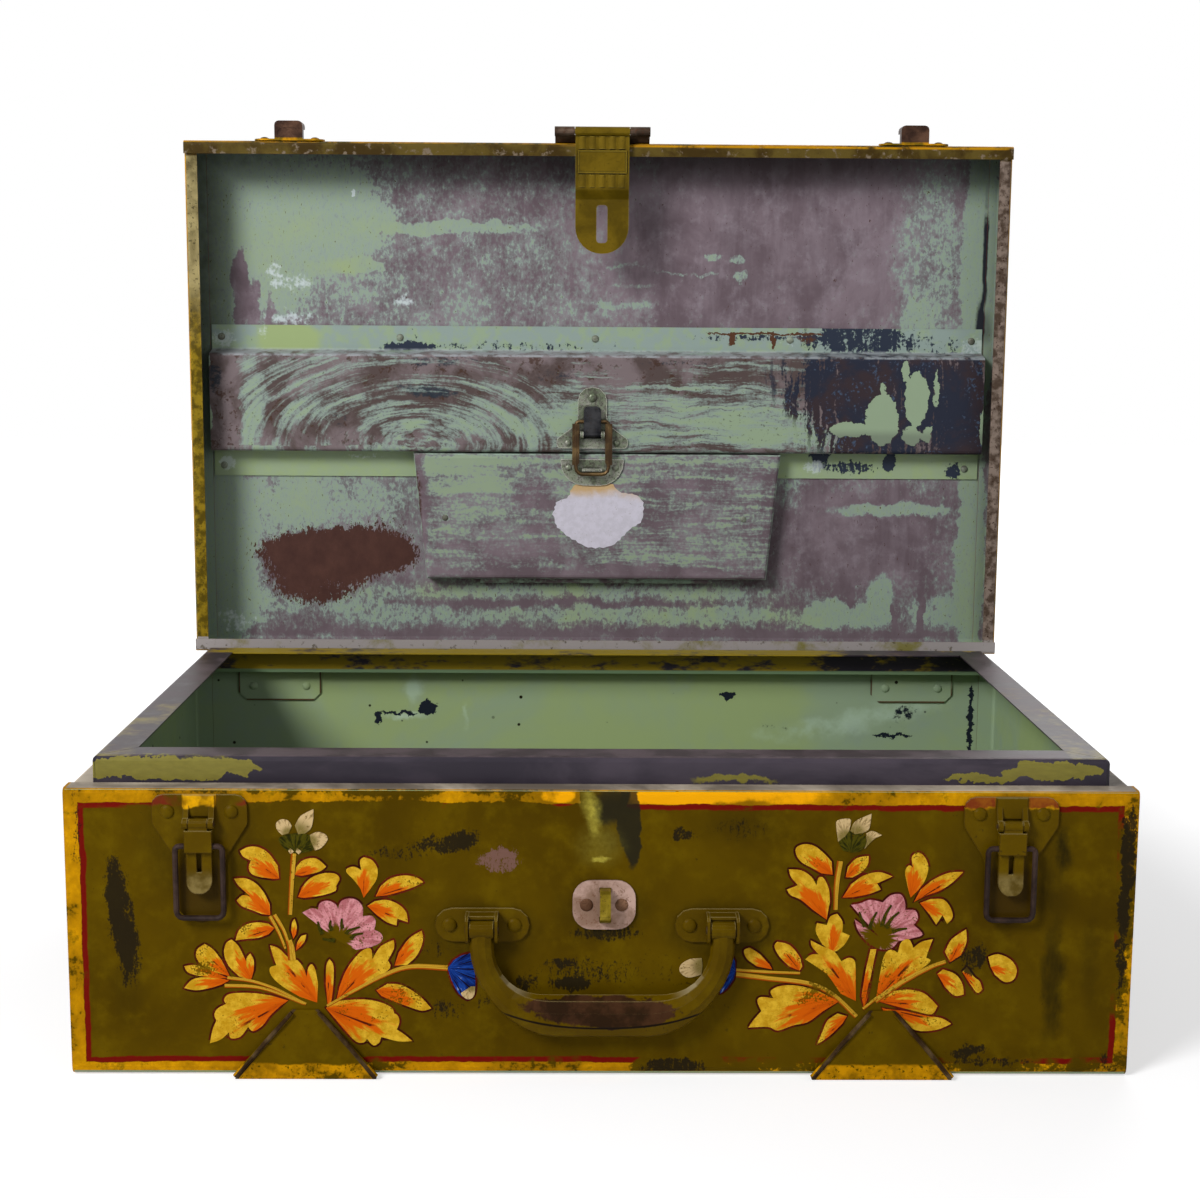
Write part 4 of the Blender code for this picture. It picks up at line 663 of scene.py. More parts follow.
EDGE_PROUD, EDGE_RISE, EDGE_GROW = 0.05 * MM, 0.002 * MM, 1.25 * MM
LEAF_PROUD, LEAF_RISE = 0.16 * MM, 0.005 * MM
STEM_PROUD, TOUCH_PROUD = 0.42 * MM, 0.48 * MM
LEAVES = [("left", (527, 392), (522, 330), (480, 270), (430, 238), (380, 236), (336, 256, 1), (352, 284),
           (390, 303, 1), (378, 336), (390, 368), (430, 384), (500, 394)),
          ("left", (606, 374), (614, 334), (650, 300), (712, 292), (762, 332, 1), (735, 354), (690, 368),
           (640, 378)),
          ("left", (620, 484), (640, 436), (680, 392), (740, 367), (800, 366), (827, 390), (810, 428, 1),
           (806, 452), (760, 470), (700, 482), (650, 488)),
          ("left", (480, 574), (478, 520), (450, 462), (410, 416), (360, 392), (304, 394, 1), (322, 424),
           (352, 454), (384, 482, 1), (345, 476), (314, 502, 1), (340, 530), (390, 550), (440, 570)),
          ("left", (499, 640), (470, 618), (420, 611), (360, 622), (322, 652), (304, 702, 1), (350, 695),
           (420, 688), (470, 670)),
          ("left", (604, 752), (612, 710), (632, 680), (657, 672, 1), (651, 700), (630, 730)),
          ("left", (592, 694), (582, 650), (588, 612), (600, 592, 1), (611, 630), (606, 670)),
          ("left", (706, 1014), (620, 985), (545, 940), (498, 903, 1), (474, 868), (474, 838),
           (506, 826, 1), (490, 780), (476, 726, 1), (520, 742), (572, 792), (610, 800), (640, 838),
           (656, 884, 1), (664, 840), (682, 820), (700, 850), (712, 920)),
          ("left", (272, 882), (232, 800), (192, 748), (150, 720, 1), (112, 748), (108, 790), (140, 832),
           (200, 862)),
          ("left", (378, 904), (382, 850), (352, 800), (320, 732), (285, 697, 1), (256, 718), (246, 770),
           (268, 830), (318, 882)),
          ("left", (381, 892), (356, 830), (358, 790), (376, 767, 1), (393, 800), (392, 850)),
          ("left", (262, 892), (200, 862), (140, 836), (90, 826), (46, 832, 1), (62, 862), (110, 878),
           (180, 888)),
          ("left", (268, 904), (200, 886), (130, 888), (80, 902), (42, 942, 1), (100, 953), (170, 942),
           (230, 924)),
          ("left", (562, 1004), (480, 980), (400, 968), (320, 966), (262, 974), (240, 1000), (250, 1022, 1),
           (206, 1046), (190, 1078), (200, 1106, 1), (180, 1150), (164, 1222, 1), (220, 1202),
           (262, 1164, 1), (270, 1196), (318, 1188), (358, 1138, 1), (382, 1160), (430, 1132), (470, 1080),
           (524, 1030)),
          ("left", (750, 1042), (800, 1008), (880, 999), (960, 999), (1030, 1014), (1080, 1040),
           (1092, 1068, 1), (1110, 1080), (1118, 1112), (1104, 1150, 1), (1140, 1174), (1182, 1209, 1),
           (1110, 1210), (1026, 1188, 1), (1014, 1218), (985, 1231), (954, 1198, 1), (938, 1216),
           (900, 1212), (850, 1162), (800, 1102)),
          ("left", (758, 1022), (751, 920), (755, 830), (771, 794, 1), (791, 830), (787, 940), (776, 1012)),
          ("left", (802, 1006), (820, 932), (848, 862), (888, 800), (938, 750), (978, 742), (986, 794, 1),
           (1028, 730), (1093, 697, 1), (1094, 740), (1062, 800, 1), (1076, 830), (1050, 860), (980, 898),
           (890, 952)),
          ("left", (1096, 826), (1118, 760), (1170, 690), (1233, 650, 1), (1239, 700), (1210, 772),
           (1160, 822)),
          ("left", (1004, 952), (1060, 918), (1120, 922), (1180, 950), (1232, 990), (1278, 1042, 1),
           (1230, 1054), (1160, 1032), (1080, 1002), (1030, 980)),
          ("left", (946, 486), (930, 440), (900, 400), (864, 362), (866, 342), (900, 332), (936, 350, 1),
           (930, 302), (950, 285, 1), (990, 300), (1015, 340), (1012, 392), (980, 442)),
          ("left", (1006, 480), (1030, 430), (1080, 390), (1150, 375), (1210, 385), (1243, 408, 1),
           (1190, 434), (1120, 458), (1060, 474)),
          ("left", (964, 528), (1000, 504), (1060, 497), (1120, 520), (1157, 560), (1164, 608, 1),
           (1112, 590, 1), (1108, 624, 1), (1060, 608), (1010, 572)),
          ("right", (645, 292), (640, 240), (610, 208), (570, 178), (530, 171), (499, 184), (498, 212),
           (520, 242), (560, 264), (600, 286)),
          ("right", (626, 472), (637, 400), (632, 350), (610, 306), (590, 304), (582, 334, 1), (560, 300),
           (520, 275), (470, 271, 1), (480, 302), (508, 334, 1), (464, 352, 1), (480, 374), (520, 392),
           (570, 432)),
          ("right", (698, 302), (706, 260), (740, 226), (787, 217, 1), (785, 250), (760, 282), (725, 302)),
          ("right", (688, 383), (720, 330), (770, 295), (830, 281), (885, 298, 1), (824, 326, 1),
           (840, 350, 1), (790, 369), (730, 381)),
          ("right", (650, 602), (610, 570), (584, 520), (588, 485, 1), (628, 494, 1), (640, 460),
           (668, 448, 1), (690, 480), (690, 522, 1), (721, 535, 1), (700, 572), (670, 598)),
          ("right", (752, 800), (690, 770), (640, 700), (600, 668), (544, 632, 1), (570, 612),
           (598, 612, 1), (570, 580), (564, 555, 1), (610, 578), (660, 600), (690, 640, 1), (720, 625),
           (744, 640), (749, 700)),
          ("right", (786, 832), (775, 780), (788, 680), (806, 590, 1), (829, 590, 1), (813, 680),
           (797, 792)),
          ("right", (834, 792), (845, 700), (860, 620), (884, 592), (916, 604, 1), (928, 562), (958, 549),
           (978, 584, 1), (1010, 560), (1055, 549, 1), (1040, 590), (1030, 624, 1), (1047, 640), (980, 692),
           (900, 742)),
          ("right", (684, 802), (600, 760), (520, 739), (450, 739), (408, 760), (420, 790, 1), (370, 785),
           (355, 802), (372, 842, 1), (340, 880), (321, 909, 1), (400, 906), (440, 921), (500, 900),
           (560, 886), (620, 842)),
          ("right", (718, 862), (680, 851), (640, 880), (622, 922, 1), (599, 978, 1), (650, 942),
           (700, 892)),
          ("right", (848, 802), (900, 760), (960, 753), (1020, 765), (1054, 790), (1083, 820, 1),
           (1060, 853), (1000, 842), (920, 822)),
          ("right", (878, 832), (950, 840), (1040, 860), (1100, 869), (1141, 892, 1), (1080, 917),
           (1000, 919), (940, 882)),
          ("right", (858, 828), (876, 860), (900, 900), (930, 921), (941, 892), (910, 842)),
          ("right", (960, 382), (947, 340), (935, 280), (950, 254), (966, 264, 1), (960, 220), (984, 203),
           (1010, 219), (1027, 260), (1016, 312), (990, 352)),
          ("right", (974, 400), (1000, 350), (1050, 310), (1110, 283), (1167, 279, 1), (1130, 317),
           (1080, 352), (1020, 374)),
          ("right", (998, 404), (1040, 388), (1090, 389), (1120, 420), (1131, 460), (1110, 487, 1),
           (1090, 452, 1), (1066, 490, 1), (1040, 452)),
          ("right", (1128, 642), (1105, 600), (1130, 550), (1187, 509, 1), (1190, 560), (1170, 612)),
          ("right", (1292, 662), (1280, 620), (1320, 609), (1370, 630), (1397, 670), (1386, 711),
           (1350, 721), (1310, 692)),
          ("right", (1078, 690), (1100, 671), (1150, 690), (1180, 730), (1187, 772, 1), (1150, 777),
           (1110, 742)),
          ("right", (1178, 682), (1196, 660), (1226, 700), (1250, 720), (1261, 752, 1), (1240, 765),
           (1206, 722)),
          ("right", (522, 677), (480, 660), (440, 620), (419, 580), (430, 561, 1), (480, 574), (520, 620),
           (533, 660)),
          ("right", (412, 672), (350, 660), (310, 630), (297, 596), (320, 585, 1), (360, 610), (400, 652))]
STEMS = [("left", 3.0, 2.4, (602, 268), (590, 400), (578, 572)),
         ("left", 2.4, 1.6, (500, 572), (545, 650), (568, 720)),
         ("left", 2.2, 1.4, (478, 580), (520, 660), (552, 742)),
         ("left", 3.4, 4.6, (570, 700), (580, 740), (584, 800)),
         ("left", 2.0, 1.6, (260, 890), (380, 906), (500, 946), (650, 1022)),
         ("left", 2.2, 1.6, (245, 930), (380, 934), (480, 956), (640, 1020)),
         ("left", 1.6, 3.4, (756, 1032), (900, 950), (1050, 872), (1180, 832), (1362, 838)),
         ("right", 3.4, 2.4, (674, 238), (662, 330), (660, 432)),
         ("right", 2.0, 1.4, (268, 676), (400, 684), (525, 688)),
         ("right", 3.0, 2.6, (268, 694), (400, 710), (560, 730), (660, 776), (756, 864)),
         ("right", 3.4, 2.2, (830, 800), (940, 722), (1050, 662), (1110, 640)),
         ("right", 1.6, 1.6, (782, 832), (838, 786))]
PINK_RIMS = [("left",
              [(640, 562, 1), (684, 540), (718, 546, 1), (728, 514), (766, 502), (804, 518), (818, 544, 1),
               (832, 506), (872, 490), (914, 500), (940, 534), (940, 580, 1), (984, 577), (1004, 604),
               (996, 646, 1), (1032, 668), (1034, 702), (988, 730), (905, 747, 1)], (812, 700)),
             ("right",
              [(722, 412, 1), (760, 406), (798, 392), (850, 402, 1), (880, 374), (920, 370), (938, 400),
               (940, 432, 1), (980, 434), (992, 466), (976, 492, 1), (1013, 530), (970, 546), (916, 558, 1),
               (890, 586), (846, 590), (800, 568), (756, 520), (738, 470)], (838, 540))]
CUPS = [("left", (1362, 838), (1390, 800), (1430, 776), (1486, 764), (1500, 800), (1498, 860), (1500, 930),
         (1490, 978), (1460, 997, 1), (1420, 970), (1390, 920), (1372, 872)),
        ("right", (265, 680), (262, 640), (245, 619), (215, 640), (200, 700), (205, 772, 1), (235, 746),
         (258, 712))]
CREAMS = [("left", (1480, 930), (1444, 952), (1428, 968), (1460, 995), (1492, 980), (1500, 930)),
          ("right", (132, 660), (128, 628), (80, 632), (44, 656), (42, 684), (76, 706), (128, 694)),
          ("left", (578, 168), (546, 176), (522, 150), (518, 118), (546, 99), (578, 106), (595, 132)),
          ("left", (626, 172), (610, 130), (640, 82), (703, 49, 1), (702, 92), (690, 142), (660, 168)),
          ("left", (688, 206), (684, 176), (720, 161), (760, 173), (771, 200), (740, 238), (708, 252)),
          ("left", (586, 240), (576, 254), (586, 268), (604, 258)),
          ("left", (620, 240), (612, 258), (628, 270), (640, 256)),
          ("right", (690, 140), (664, 160), (656, 110), (656, 80), (684, 70), (712, 74), (706, 118)),
          ("right", (730, 130), (712, 118), (730, 80), (794, 50, 1), (786, 108), (760, 126)),
          ("right", (778, 160), (774, 128), (800, 118), (838, 134, 1), (806, 150), (770, 188))]
CALYXES = [("left", (618, 268), (560, 250), (528, 200), (560, 178), (620, 168), (680, 176), (714, 206),
            (700, 248), (650, 264)),
           ("right", (720, 204), (684, 196), (668, 160), (700, 122), (742, 120), (772, 140), (772, 178),
            (750, 200))]
DARK_LINES = [("left", (738, 668), (724, 640), (716, 606)), ("left", (786, 650), (776, 624), (780, 600)),
              ("left", (800, 700), (770, 698), (738, 692)), ("left", (856, 668), (872, 650), (926, 632)),
              ("left", (838, 640), (834, 620), (836, 590)), ("left", (880, 690), (900, 672), (940, 664)),
              ("right", (800, 508), (806, 480), (826, 440)), ("right", (866, 506), (884, 470), (916, 440)),
              ("right", (848, 500), (862, 450), (884, 412)), ("right", (780, 500), (766, 470), (756, 440)),
              ("right", (890, 520), (920, 510), (950, 506))]

leaves, stems, edging = Strokes(), Strokes(), Strokes()
pinks, blues, creams, calyx = Strokes(), Strokes(), Strokes(), Strokes()
for i, (spray, *drawn) in enumerate(LEAVES):
    outline = on_front(spray, drawn)
    leaf(leaves, outline, LEAF_PROUD + i * LEAF_RISE)
    leaf(edging, outline, EDGE_PROUD + i * EDGE_RISE, EDGE_GROW)
for i, (spray, start_width, end_width, *drawn) in enumerate(STEMS):
    stem(stems, on_front(spray, drawn), start_width * MM, end_width * MM, STEM_PROUD + i * EDGE_RISE)
for spray, rim, heart in PINK_RIMS:
    outline = on_front(spray, [heart, *rim])
    leaf(pinks, outline, LEAF_PROUD)
    leaf(edging, outline, EDGE_PROUD, EDGE_GROW)
for spray, *drawn in CUPS:
    leaf(blues, on_front(spray, drawn), LEAF_PROUD)
    leaf(edging, on_front(spray, drawn), EDGE_PROUD, EDGE_GROW)
for i, (spray, *drawn) in enumerate(CREAMS):
    leaf(creams, on_front(spray, drawn), TOUCH_PROUD + i * EDGE_RISE)
for spray, *drawn in CALYXES:
    leaf(calyx, on_front(spray, drawn), STEM_PROUD)
for i, (spray, *drawn) in enumerate(DARK_LINES):
    stem(calyx, on_front(spray, drawn), 2.4 * MM, 1.0 * MM, TOUCH_PROUD + i * EDGE_RISE)

WORN_SPOTS = [(-228, 72, 9, 9, 0.8, 0.10), (-226, 62, 9, 5, 0.8, 0.08), (-112, 48, 11, 7, 0.8, 0.12),
              (125, 50, 13, 6, 0.8, 0.14), (124, 61, 9, 5, 0.8, 0.13), (120, 131, 8, 6, 0.8, 0.10),
              (160, 92, 18, 14, 0.9, 0.06), (145, 126, 6, 5, 0.8, 0.06), (165, 60, 16, 10, 0.9, 0.05)]
SPRAY_SCUFF = [(213, 70, 7, 8, 0.7, 1.0), (207, 68, 9, 3, 0.7, 0.7)]


def stroke_paint(name, wear, colours, fanned=True):
    """A brushed stroke: colour by its own run from root to tip, worn back to the olive in places."""
    material, where = start_paint(name)
    u, v, _ = axes(node("UVMap", uv_map="stroke"))
    if fanned:
        side = v - 0.5
        v = calc("ARCTAN2", side, u) * (1 / math.pi) + 0.5
        u = calc("SQRT", u * u + side * side)
    mottle = mottled(where, 45.0, 900.0)
    brushed = node("CombineXYZ", {0: v * 26.0, 1: u * 2.5})
    spread = vector_calc("ADD", brushed, stretched(where, (30, 30, 30)))
    bristle = noise(spread, 1.0, 3.0, 0.6)
    colour = colours(u, v, bristle, mottle)
    ragged = wobbled(where, 90, 8 * MM)
    level = mottle["Fine"] * 0.35 + mottle["All"] + blots(ragged, WORN_SPOTS)
    lost = fade(level, wear, wear + 0.05)
    colour = blend(lost * 0.85, colour, OLIVE)
    soot = fade(mottle["Fine"] * 0.9 + blots(ragged, SPRAY_SCUFF), 0.8, 1.0)
    colour = blend(soot * 0.9, colour, SOOT)
    end_paint(colour, 0.45, bristle, 0.04 * MM, shine=0.02)
    return material


def leaf_colours(u, v, bristle, mottle):
    aside = abs(v - 0.5)
    flush = aside * 1.9 + u * 0.9 - (bristle - 0.5)
    yellow = blend(fade(mottle["Middle"], 0.36, 0.66), "A67C12", "C29C28")
    yellow = blend(fade(mottle["Fine"], 0.54, 0.66) * 0.35, yellow, "8A6A10")
    colour = blend(fade(flush, 0.66, 0.48), yellow, "B65005")
    colour = blend(fade(flush, 0.36, 0.18) * 0.6, colour, "9C3A03")
    vein = fade(aside, 0.012, 0.006) * fade(u, 0.62, 0.5)
    return blend(vein * fade(mottle["Broad"], 0.5, 0.56), colour, "4A1408")


def stem_colours(u, v, bristle, mottle):
    colour = blend(fade(bristle, 0.4, 0.6), "8E640E", "B8922C")
    return blend(fade(v, 0.36, 0.18), colour, "8A3C05")


def edge_colours(u, v, bristle, mottle):
    return blend(fade(mottle["Broad"], 0.42, 0.6), "300D06", "52140B")


def pink_colours(u, v, bristle, mottle):
    colour = blend(fade(bristle, 0.36, 0.62), "99585C", "BE8084")
    colour = blend(fade(mottle["Fine"], 0.52, 0.62) * 0.5, colour, "6A3A2C")
    run = (bristle - 0.5) * 0.5 + u
    return blend(fade(run, 0.4, 0.28), colour, OLIVE)


def blue_colours(u, v, bristle, mottle):
    colour = blend(fade(bristle, 0.38, 0.62), "081A50", "163A86")
    colour = blend(fade(bristle, 0.63, 0.7), colour, "7E8CB0")
    rays = fade(calc("PINGPONG", v, 0.055), 0.012, 0.006)
    return blend(rays * fade(u, 0.15, 0.4), colour, "100A18")


def cream_colours(u, v, bristle, mottle):
    colour = blend(fade(u, 0.2, 0.62), "6E6030", "B39A6E")
    return blend(fade(bristle, 0.5, 0.64), colour, "86704A")


def calyx_colours(u, v, bristle, mottle):
    return blend(fade(bristle, 0.4, 0.6), "1E1E04", "403B08")


edging.make("spray_edging", stroke_paint("maroon_edging", 0.76, edge_colours))
stems.make("spray_stems", stroke_paint("stem_strokes", 0.78, stem_colours, fanned=False))
leaves.make("spray_leaves", stroke_paint("leaf_strokes", 0.78, leaf_colours))
pinks.make("spray_pink_flowers", stroke_paint("pink_strokes", 0.77, pink_colours))
blues.make("spray_blue_flowers", stroke_paint("blue_strokes", 0.84, blue_colours))
creams.make("spray_cream_petals", stroke_paint("cream_strokes", 0.76, cream_colours))
calyx.make("spray_green_touches", stroke_paint("green_strokes", 0.76, calyx_colours))


# Lid
# A shallow pan folded from one sheet, with end pans lapped in and a turned-in rim. Outside it is finished
# like the base; inside, pale green enamel has worn off a mauve-grey coat in runs, drips and brush marks.
LID_FOOT = (236.0 * MM, 216.0 * MM)


def worn_green(where, left, mottle, lime):
    """Pale green enamel over the mauve coat; more of it is left where the given level is high."""
    under = blend(fade(mottle["Broad"], 0.35, 0.65), MAUVE_DARK, MAUVE)
    under = blend(fade(mottle["Middle"], 0.45, 0.75) * 0.4, under, MAUVE_LIGHT)
    drawn = streaks(where, (120, 120, 16), 4.0, 0.6)
    under = blend(fade(drawn, 0.46, 0.66) * 0.14, under, MAUVE_LIGHT)
    under = blend(fade(drawn, 0.46, 0.3) * 0.14, under, MAUVE_DARK)
    foot = fade(axes(where)["Z"], *LID_FOOT)
    under = blend(foot * 0.6, under, MAUVE_DARK)
    film = blend(fade(left, 0.55, 0.85), GREEN_BLUE, GREEN)
    film = blend(lime, film, GREEN_LIME)
    cover = fade(left, 0.4, 0.66) * 0.95
    haze = fade(left, 0.22, 0.5) * 0.3
    return blend(most(cover, haze), under, film), cover


PANEL_BIAS = [(-250, 508, 74, 50, 1.0, 0.52), (-294, 450, 20, 120, 0.3, 0.62),
              (-203, 524, 28, 16, 0.6, 0.4), (-188, 508, 34, 9, 0.4, 0.45), (-112, 499, 60, 4.5, 0.3, 0.44),
              (-195, 490, 34, 14, 0.5, 0.22), (-192, 469, 28, 5, 0.4, 0.46), (-243, 470, 22, 34, 0.5, 0.44),
              (-272, 450, 7, 30, 0.35, -0.95), (-261, 438, 3.5, 24, 0.4, -0.7),
              (-250, 436, 2.5, 22, 0.4, -0.5), (-130, 442, 86, 20, 0.6, 0.1), (-75, 478, 48, 14, 0.7, 0.11),
              (-20, 448, 40, 22, 0.8, 0.03), (140, 490, 130, 80, 0.4, -0.32), (87, 478, 6, 3.5, 0.3, 0.62),
              (106, 474, 6.5, 4, 0.3, 0.62), (108, 462, 7, 4, 0.3, 0.6), (20, 441, 24, 3, 0.5, 0.3),
              (82, 465, 9, 1.6, 0.4, 0.5), (58, 466, 12, 1.3, 0.5, 0.45), (22, 471, 14, 1.3, 0.5, 0.35),
              (28, 456, 16, 1.6, 0.5, 0.32), (250, 478, 26, 60, 0.4, 0.4), (240, 430, 14, 20, 0.5, 0.14),
              (292, 470, 14, 110, 0.25, 0.85), (-296, 260, 26, 90, 0.35, 0.62),
              (-238, 287, 28, 24, 0.9, 0.46), (-180, 292, 46, 22, 0.8, 0.26),
              (-272, 252, 16, 44, 0.8, 0.24), (-285, 210, 30, 30, 0.6, 0.25), (-205, 212, 56, 8, 0.8, 0.3),
              (-20, 220, 140, 5.5, 0.6, 0.3), (50, 202, 120, 7, 0.6, 0.34), (-140, 200, 60, 6, 0.8, 0.28),
              (-10, 210, 130, 2.5, 0.6, -0.25), (90, 214, 34, 8, 0.4, 0.16), (0, 187, 300, 4, 0.5, -0.25),
              (200, 262, 62, 38, 0.5, -0.34), (226, 285, 44, 5, 0.4, 0.78), (182, 203, 18, 11, 0.3, 0.7),
              (222, 215, 11, 20, 0.3, 0.6), (208, 202, 10, 9, 0.3, 0.45), (291, 250, 11, 80, 0.25, 0.85),
              (268, 205, 22, 12, 0.5, 0.3), (254, 206, 2.6, 20, 0.4, -0.8), (233, 196, 2.0, 12, 0.4, -0.7),
              (200, 214, 2.2, 14, 0.4, -0.6), (150, 300, 8, 14, 0.5, 0.25)]
LIME_PLACES = [(-215, 500, 60, 12, 0.8, 0.7), (-192, 469, 30, 6, 0.6, 1.0), (-236, 288, 18, 20, 0.7, 0.7),
               (-160, 500, 40, 5, 0.6, 0.5), (294, 260, 12, 90, 0.5, 0.5), (60, 202, 110, 12, 0.8, 1.8),
               (-20, 220, 130, 8, 0.8, 1.3), (-262, 470, 26, 26, 0.8, 0.5)]
RUST_PATCH = [(-203, 250, 57, 18, 0.3, 1.3), (-216, 230, 36, 20, 0.4, 1.0), (-170, 246, 26, 24, 0.7, 0.9),
              (-168, 226, 30, 15, 0.9, -0.55)]
BLOOM = [(-228, 456, 12, 8, 0.8, 0.5), (-246, 462, 7, 12, 0.8, 0.5), (-148, 443, 10, 8, 0.9, 0.5),
         (-234, 430, 20, 6, 0.8, 0.55), (-282, 197, 14, 10, 0.8, 0.5), (-186, 524, 2, 2, 0.5, 0.9),
         (262, 430, 8, 10, 0.9, 0.25)]
DARK_RUNS = [(294.5, 478, 1.8, 44, 0.4, 1.0), (293, 428, 2.6, 18, 0.5, 0.9), (296, 505, 1.0, 10, 0.5, 0.8),
             (296, 425, 5, 12, 0.6, 0.5)]
RIM_TOP, RIM_TOP_EDGE = (547.0 * MM, 548.0 * MM), (555.2 * MM, 556.6 * MM)
RIM_PALE, RIM_FOOT = (400.0 * MM, 470.0 * MM), (190.0 * MM, 189.0 * MM)


def lid_rim(x, z, mottle):
    """The turned-in rim: brown above, cream and golden on the left, rusty grey on the right, lilac below."""
    brown = blend(fade(mottle["Broad"], 0.4, 0.6), "35270A", "52441A")
    brown = blend(fade(mottle["Middle"], 0.56, 0.66), brown, "6B5E4E")
    gold = blend(fade(mottle["Middle"], 0.4, 0.62), "4A3C04", "7C6612")
    cream = blend(fade(mottle["Broad"], 0.36, 0.64), "4E4428", "94875C")
    left = blend(fade(z, *RIM_PALE), gold, cream)
    left = blend(fade(mottle["Fine"], 0.6, 0.68) * 0.7, left, "2A2212")
    rusty = blend(fade(mottle["Middle"], 0.38, 0.62), "43362C", "77695F")
    rusty = blend(fade(mottle["Fine"], 0.6, 0.68), rusty, "2E1C14")
    lilac = blend(fade(mottle["Broad"], 0.32, 0.5), "6E683A", "8C8684")
    lilac = blend(fade(mottle["Middle"], 0.58, 0.66) * 0.7, lilac, "3E351C")
    colour = blend(fade(x, -10.0 * MM, 10.0 * MM), left, rusty)
    colour = blend(fade(z, *RIM_TOP), colour, brown)
    upper_edge = fade(z, *RIM_TOP_EDGE) * fade(x, -50.0 * MM, 60.0 * MM)
    colour = blend(upper_edge * fade(mottle["Broad"], 0.36, 0.5), colour, YELLOW)
    return blend(fade(z, *RIM_FOOT), colour, lilac)


LID_TOP, LID_PANEL, LID_WALLS = 558.5 * MM, 230.0 * MM, (235.5 * MM, 233.5 * MM)


def lid_enamel(name, low, high):
    """The lid's paint on one folded piece: olive outside, a worn rim, green worn off mauve inside."""
    material, where = start_paint(name)
    x, y, z = axes(where)
    shell = node("Group", {"Where": where, "Low": low, "High": high}, node_tree=BOX_EDGE)
    outside = fade(shell["Face"], *SHEET_SKIN)
    outer, outer_mottle = olive_coat(where)
    outer = banded(outer, where, shell["Edge"], outer_mottle, 0.0)
    rim_mottle = mottled(where, 34.0, 520.0)
    on_rim = fade(y, low[1] + 0.7 * MM, low[1] + 0.4 * MM)
    outer = blend(on_rim, outer, lid_rim(x, z, rim_mottle))

    runny = stretched(where, (0.9, 1.0, 0.75))
    mottle = mottled(runny, 24.0, 300.0)
    ragged = wobbled(where, 60, 16 * MM)
    grain = streaks(where, (640, 640, 270), 3.0, 0.7)
    left = least(blots(ragged, PANEL_BIAS) + mottle["Flecks"] - 0.12, 0.7)
    left = left + (grain - 0.5) * 0.7 + fade(y, *LID_WALLS) * 0.5
    lime = blots(ragged, LIME_PLACES) * fade(mottle["Broad"], 0.34, 0.8)
    inner, cover = worn_green(where, left, mottle, lime)
    torn = wobbled(wobbled(where, 130, 16 * MM), 500, 5 * MM)
    rust = fade((grain - 0.5) * 2.6 + blots(torn, RUST_PATCH), 0.42, 0.56)
    rust_colour = blend(mottle["Middle"], "33201E", "543830")
    inner = blend(rust * (y > LID_PANEL), inner, rust_colour)
    bloom = mottle["Fine"] * 1.3 + blots(ragged, BLOOM)
    inner = blend(fade(bloom, 0.98, 1.35) * 0.75, inner, "B9C2C6")
    dark = blots(wobbled(where, 30, 7 * MM), DARK_RUNS) * fade(mottle["Broad"], 0.3, 0.45)
    inner = blend(dark, inner, "23252C")
    # Painted shade mixed with grime: the panel is darkened under the top wall and along the left wall, where
    # their shadow falls, and a little along the right wall.
    from_top = LID_TOP - z
    left_side = fade(x, -262.0 * MM, -302.0 * MM) * fade(z, 260.0 * MM, 420.0 * MM)
    right_side = fade(x, 290.0 * MM, 303.0 * MM) * 0.5
    grime_and_shade = most(most(fade(from_top, 36.0 * MM, 8.0 * MM), left_side), right_side)
    inner = blend(grime_and_shade * (mottle["Middle"] * 0.5 + 0.4), inner, "1E1A12")
    colour = blend(outside, inner, outer)
    rough = cover * -0.12 + 0.58
    end_paint(colour, rough, cover * 0.6 + mottle["Fine"], 0.1 * MM, shine=0.06)
    return material


dress_folded("lid", lid_enamel)


# Hinge backing plates and hinges
# Plates inside the back wall, painted over in the base's green with rust along their edges, and two steel
# butt hinges behind, riveted through them.
HINGE_OFF = 240.0 * MM
BACKING_SIDE, BACKING_FOOT = (29.6 * MM, 30.6 * MM), (144.5 * MM, 143.5 * MM)
BACKING_CORNER = (-117.0 * MM, -116.2 * MM)
backing_paint, where = start_paint("backing_enamel")
colour, mottle = green_inside(where)
x, _, z = axes(where)
off = abs(abs(x) - HINGE_OFF)
near = most(fade(off, *BACKING_SIDE), fade(z, *BACKING_FOOT))
near = most(near, fade(off - z, *BACKING_CORNER))
colour = blend(near * fade(mottle["Middle"], 0.36, 0.5), colour, "4A3020")
end_paint(colour, 0.5, mottle["Fine"])
dress(backing_paint, "hinge_backing_left", "hinge_backing_right")


def browned_steel(name, dark, light, rust, metallic=0.7, rough=0.32):
    """Old steel gone brown, rubbed brighter in places and freckled with rust."""
    material, where = start_paint(name)
    mottle = mottled(where, 60.0, 900.0)
    colour = blend(fade(mottle["Broad"], 0.36, 0.66), dark, light)
    freckle = fade(mottle["Fine"] * 0.5 + mottle["Middle"] * 0.5, 0.54, 0.62)
    colour = blend(freckle * 0.7, colour, rust)
    end_paint(colour, mottle["All"] * 0.4 + rough, mottle["Fine"], 0.12 * MM, metallic, shine=0.08)
    return material


dark_steel = browned_steel("browned_steel", "33281F", "5C4C40", "4A2A18")
for part in ("hinge_base_leaf", "hinge_lid_leaf", "hinge_pin"):
    dress(dark_steel, part + "_left", part + "_right")


